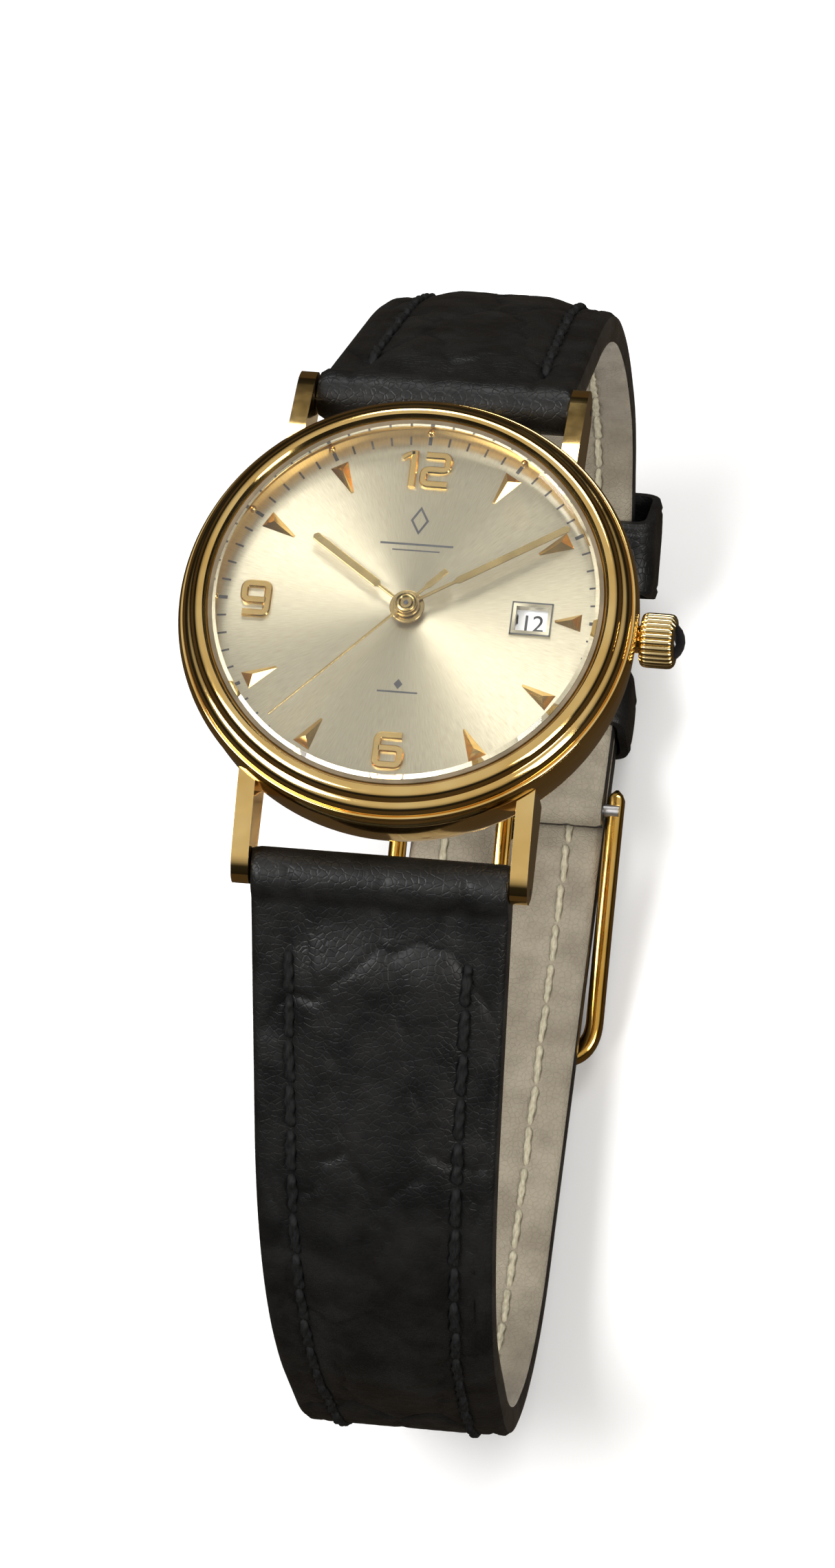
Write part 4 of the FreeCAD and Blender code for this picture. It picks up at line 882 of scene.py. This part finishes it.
def along_bottom(y, offset):
    """Height of a point below the wrist, from the buckle bar's level."""
    bar_z = TURN_CENTRE[1] - TURN_RADIUS * math.cos(SLOPE)
    bar_z += (TURN_CENTRE[0] - TURN_RADIUS * math.sin(SLOPE) - BUCKLE_BAR_Y) * math.tan(SLOPE)
    return bar_z - (y - BUCKLE_BAR_Y) * math.tan(SLOPE) + offset


def through(points, y):
    """Parabola through three (y, offset) points."""
    (a, fa), (b, fb), (c, fc) = points
    return (fa * (y - b) * (y - c) / ((a - b) * (a - c)) + fb * (y - a) * (y - c) / ((b - a) * (b - c))
            + fc * (y - a) * (y - b) / ((c - a) * (c - b)))


def build_buckle():
    half, far, near, bar_width = 7.0, -5.4, 11.4, 1.05
    inside = [(11.3, 0.45), (4.0, -1.1), (-5.4, -3.65)]
    outside = [(11.3, -0.55), (4.0, -2.3), (-5.4, -4.8)]
    x_mid, y_far = half - bar_width / 2, far + bar_width / 2 + 0.15
    plan = rounded([(x_mid, near), (x_mid, y_far), (-x_mid, y_far), (-x_mid, near)], 2.2, closed=False, steps=14)
    line = []
    for first, second in zip(plan, plan[1:]):
        count = max(1, int((second - first).length / 0.3))
        line += [first.lerp(second, k / count) for k in range(count)]
    line.append(plan[-1])
    rings = []
    for index, point in enumerate(line):
        before, after = line[max(index - 1, 0)], line[min(index + 1, len(line) - 1)]
        along = (after - before).normalized()
        normal = Vector((-along.y, along.x))
        ends = min(index, len(line) - 1 - index) * 0.3
        swell = math.sqrt(min(1.0, (ends + 0.02) / 0.6)) if ends < 0.6 else 1.0
        low, high = through(outside, point.y), through(inside, point.y)
        widen = 1.0 + 0.28 * max(0.0, abs(along.x)) ** 2
        ring = []
        for k in range(28):
            angle = 2 * math.pi * k / 28
            c, s = math.cos(angle), math.sin(angle)
            side = math.copysign(abs(c) ** 0.75, c) * bar_width / 2 * swell * widen
            share = math.copysign(abs(s) ** 0.7, s) * swell
            spot = point + normal * side
            offset = (low + high) / 2 + (high - low) / 2 * share
            if abs(spot.x) < 0.62 and s < 0 and abs(along.x) > 0.8:
                offset = max(offset, through(outside, spot.y) + 0.55)
            ring.append((spot.x, spot.y, along_bottom(spot.y, offset)))
        rings.append(ring)
    points, faces = skin(rings)
    piece("buckle_loop", points, faces, [GOLD_DEEP], "buckle_frame", ["buckle_frame"], "gold_buckle", sharp=60)
    clear = 0.95 + 0.42
    route = [(10.2, 0.98), (8.6, 0.62), (7.2, 0.3), (5.4, -0.35), (4.4, -LAYER + clear + 0.05),
             (3.4, -LAYER + clear - 0.3), (2.2, -2.1), (0.9, -LAYER - clear), (-1.2, -3.8), (-3.6, -4.15),
             (-5.0, -4.55), (-5.6, -4.78)]
    curve = bpy.data.curves.new("route", "CURVE")
    curve.dimensions = "3D"
    spline = curve.splines.new("NURBS")
    spline.points.add(len(route) - 1)
    for point, (y, offset) in zip(spline.points, route):
        point.co = (0, y, along_bottom(y, offset), 1)
    spline.use_endpoint_u = True
    spline.order_u = 4
    spline.resolution_u = 8
    holder = bpy.data.objects.new("route", curve)
    bpy.context.scene.collection.objects.link(holder)
    sampled = bpy.data.meshes.new_from_object(holder)
    line = [vertex.co.copy() for vertex in sampled.vertices]
    bpy.data.objects.remove(holder)
    rings = []
    for index, point in enumerate(line):
        along = (line[min(index + 1, len(line) - 1)] - line[max(index - 1, 0)]).normalized()
        normal = Vector((0, -along.z, along.y))
        left = (len(line) - 1 - index) / len(line)
        swell = min(1.0, 0.35 + (left / 0.05) ** 0.5 * 0.65)
        ring = []
        for k in range(20):
            angle = 2 * math.pi * k / 20
            c, s = math.cos(angle), math.sin(angle)
            x = math.copysign(abs(c) ** 0.6, c) * 0.5 * (swell * 0.5 + 0.5)
            ring.append(tuple(point + Vector((x, 0, 0)) + normal * math.copysign(abs(s) ** 0.8, s) * 0.3 * swell))
        rings.append(ring)
    prong = skin(rings)
    eye, turns, bar_height = [], 48, along_bottom(BUCKLE_BAR_Y, 0)
    section = rounded([(-0.5, 0.46), (0.5, 0.46), (0.5, 1.04), (-0.5, 1.04)], 0.14, steps=3)
    for index in range(turns):
        angle = 2 * math.pi * index / turns
        eye.append([(p.x, BUCKLE_BAR_Y + p.y * math.cos(angle), bar_height + p.y * math.sin(angle)) for p in section])
    points, faces = merged([prong, skin(eye, closed_path=True)])
    piece("buckle_prong", points, faces, [GOLD_DEEP], "buckle_tongue", ["buckle_tongue"], "gold_buckle", sharp=60)


def build_keepers(short):
    flat_from = short.length - short.runs[-1][0]
    low, high = -0.95 - 0.15, 0.95 + LAYER + 0.15
    keeper("fixed_loop", short, short.length - (15.2 + 1.9 - BUCKLE_BAR_Y) / math.cos(SLOPE), 3.8, 5.75 + 0.15,
           low, high, "case", "fixed_keeper", 3)
    centre = flat_from - TURN_RADIUS * math.radians(90 - 52 - 2.5)
    keeper("loose_loop", short, centre, 5.0, 5.75 + 0.75, low, high, "free_keeper", "free_keeper", 4)


# ---------------------------------------------------------------- CAD nodes that stay
NODE_MATERIALS = {
    "gold": (GOLD, ["case_back", "crown_tube"]),
    "dial": (DIAL, ["dial", "date_window_frame"]),
    "pale": (GOLD_PALE, ["hour_markers", "minute_dots"]),
    "glass": (GLASS, ["crystal"]),
    "seal": (SEAL, ["crystal_gasket", "case_back_gasket", "crown_gasket"]),
    "white": (WHITE, ["date_ring"]),
    "steel": (STEEL, ["winding_stem", "sliding_pinion", "setting_lever", "date_jumper", "battery", "battery_clamp",
                      "quartz_can", "coil_core", "stator", "rotor", "movement_screws", "spring_bar_12",
                      "spring_bar_12_tip", "spring_bar_6", "spring_bar_6_tip", "buckle_bar"]),
    "brass": (BRASS, ["seconds_wheel", "third_wheel", "centre_wheel", "intermediate_wheel", "minute_wheel",
                      "hour_wheel", "date_wheel", "main_plate", "train_bridge"]),
    "copper": (COPPER, ["coil"]),
    "holder": (HOLDER, ["movement_holder"]),
    "board": (BOARD, ["circuit_board"]),
}


def dress_nodes():
    for material, names in NODE_MATERIALS.values():
        for name in names:
            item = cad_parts[name]
            item.data.materials.clear()
            item.data.materials.append(material)
    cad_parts["crystal"].visible_shadow = False


# ---------------------------------------------------------------- stage, light, camera
def area_light(name, place, target, width, height, power, colour=(1, 1, 1)):
    lamp = bpy.data.lights.new(name, "AREA")
    lamp.shape = "RECTANGLE"
    lamp.size, lamp.size_y = width, height
    lamp.energy = power
    lamp.color = colour
    item = bpy.data.objects.new(name, lamp)
    item.location = place
    item.rotation_euler = (Vector(target) - Vector(place)).to_track_quat("-Z", "Y").to_euler()
    bpy.context.scene.collection.objects.link(item)


def build_stage():
    floor_material = Nodes("floor", (0.93, 0.93, 0.93), roughness=0.9)
    floor_material.tint(floor_material.noise(40.0), (0.92, 0.92, 0.92), (0.94, 0.94, 0.94))
    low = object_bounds()[0].z - 0.0005
    mesh = bpy.data.meshes.new("floor")
    mesh.from_pydata([(-2, -2, low), (2, -2, low), (2, 2, low), (-2, 2, low)], [], [(0, 1, 2, 3)])
    mesh.materials.append(floor_material.material)
    floor = bpy.data.objects.new("floor", mesh)
    bpy.context.scene.collection.objects.link(floor)
    floor.visible_glossy = False
    world = bpy.data.worlds.new("studio")
    bpy.context.scene.world = world
    bpy.context.scene.view_settings.view_transform = "Standard"
    world.use_nodes = True
    tree = world.node_tree
    direction = tree.nodes.new("ShaderNodeTexCoord")
    split = tree.nodes.new("ShaderNodeSeparateXYZ")
    tree.links.new(direction.outputs["Generated"], split.inputs["Vector"])
    ramp = tree.nodes.new("ShaderNodeValToRGB")
    ramp.color_ramp.elements[0].position = 0.0
    ramp.color_ramp.elements[0].color = (0.10, 0.075, 0.05, 1)
    ramp.color_ramp.elements[1].position = 1.0
    ramp.color_ramp.elements[1].color = (1.0, 1.0, 1.0, 1)
    for position, value in ((0.06, 0.02), (0.44, 0.03), (0.58, 0.5), (0.8, 0.95)):
        element = ramp.color_ramp.elements.new(position)
        element.color = (value, value * 0.97, value * 0.93, 1)
    tree.links.new(split.outputs["Z"], ramp.inputs["Fac"])
    tree.links.new(ramp.outputs["Color"], tree.nodes["Background"].inputs["Color"])
    tree.nodes["Background"].inputs["Strength"].default_value = 0.62
    area_light("key", (-0.28, -0.12, 0.42), (0, 0, 0), 0.3, 0.22, 2.6)
    area_light("fill", (0.36, -0.2, 0.3), (0, 0, -0.01), 0.14, 0.3, 1.5, (1.0, 0.98, 0.95))
    area_light("back", (0.05, 0.45, 0.4), (0, 0, -0.01), 0.4, 0.16, 1.8)


def build_camera():
    camera = bpy.data.cameras.new("camera")
    camera.sensor_width = 36.0
    camera.lens = 182.62531579
    camera.clip_start, camera.clip_end = 0.01, 20
    item = bpy.data.objects.new("camera", camera)
    right = Vector((0.98806154, 0.12185614, -0.09426278))
    up = Vector((-0.07629581, 0.9185961, 0.38776301))
    back = -Vector((-0.13384073, 0.37594187, -0.91692659))
    matrix = Matrix((right, up, back)).transposed().to_4x4()
    matrix.translation = (0.05877, -0.17018, 0.39532)
    item.matrix_world = matrix
    bpy.context.scene.collection.objects.link(item)
    bpy.context.scene.camera = item


build_case()
build_crown()
build_prints()
build_numerals()
build_hands()
build_hub()
build_date_figures()
short, long = build_straps()
build_keepers(short)
build_buckle()
dress_nodes()
build_stage()
build_camera()
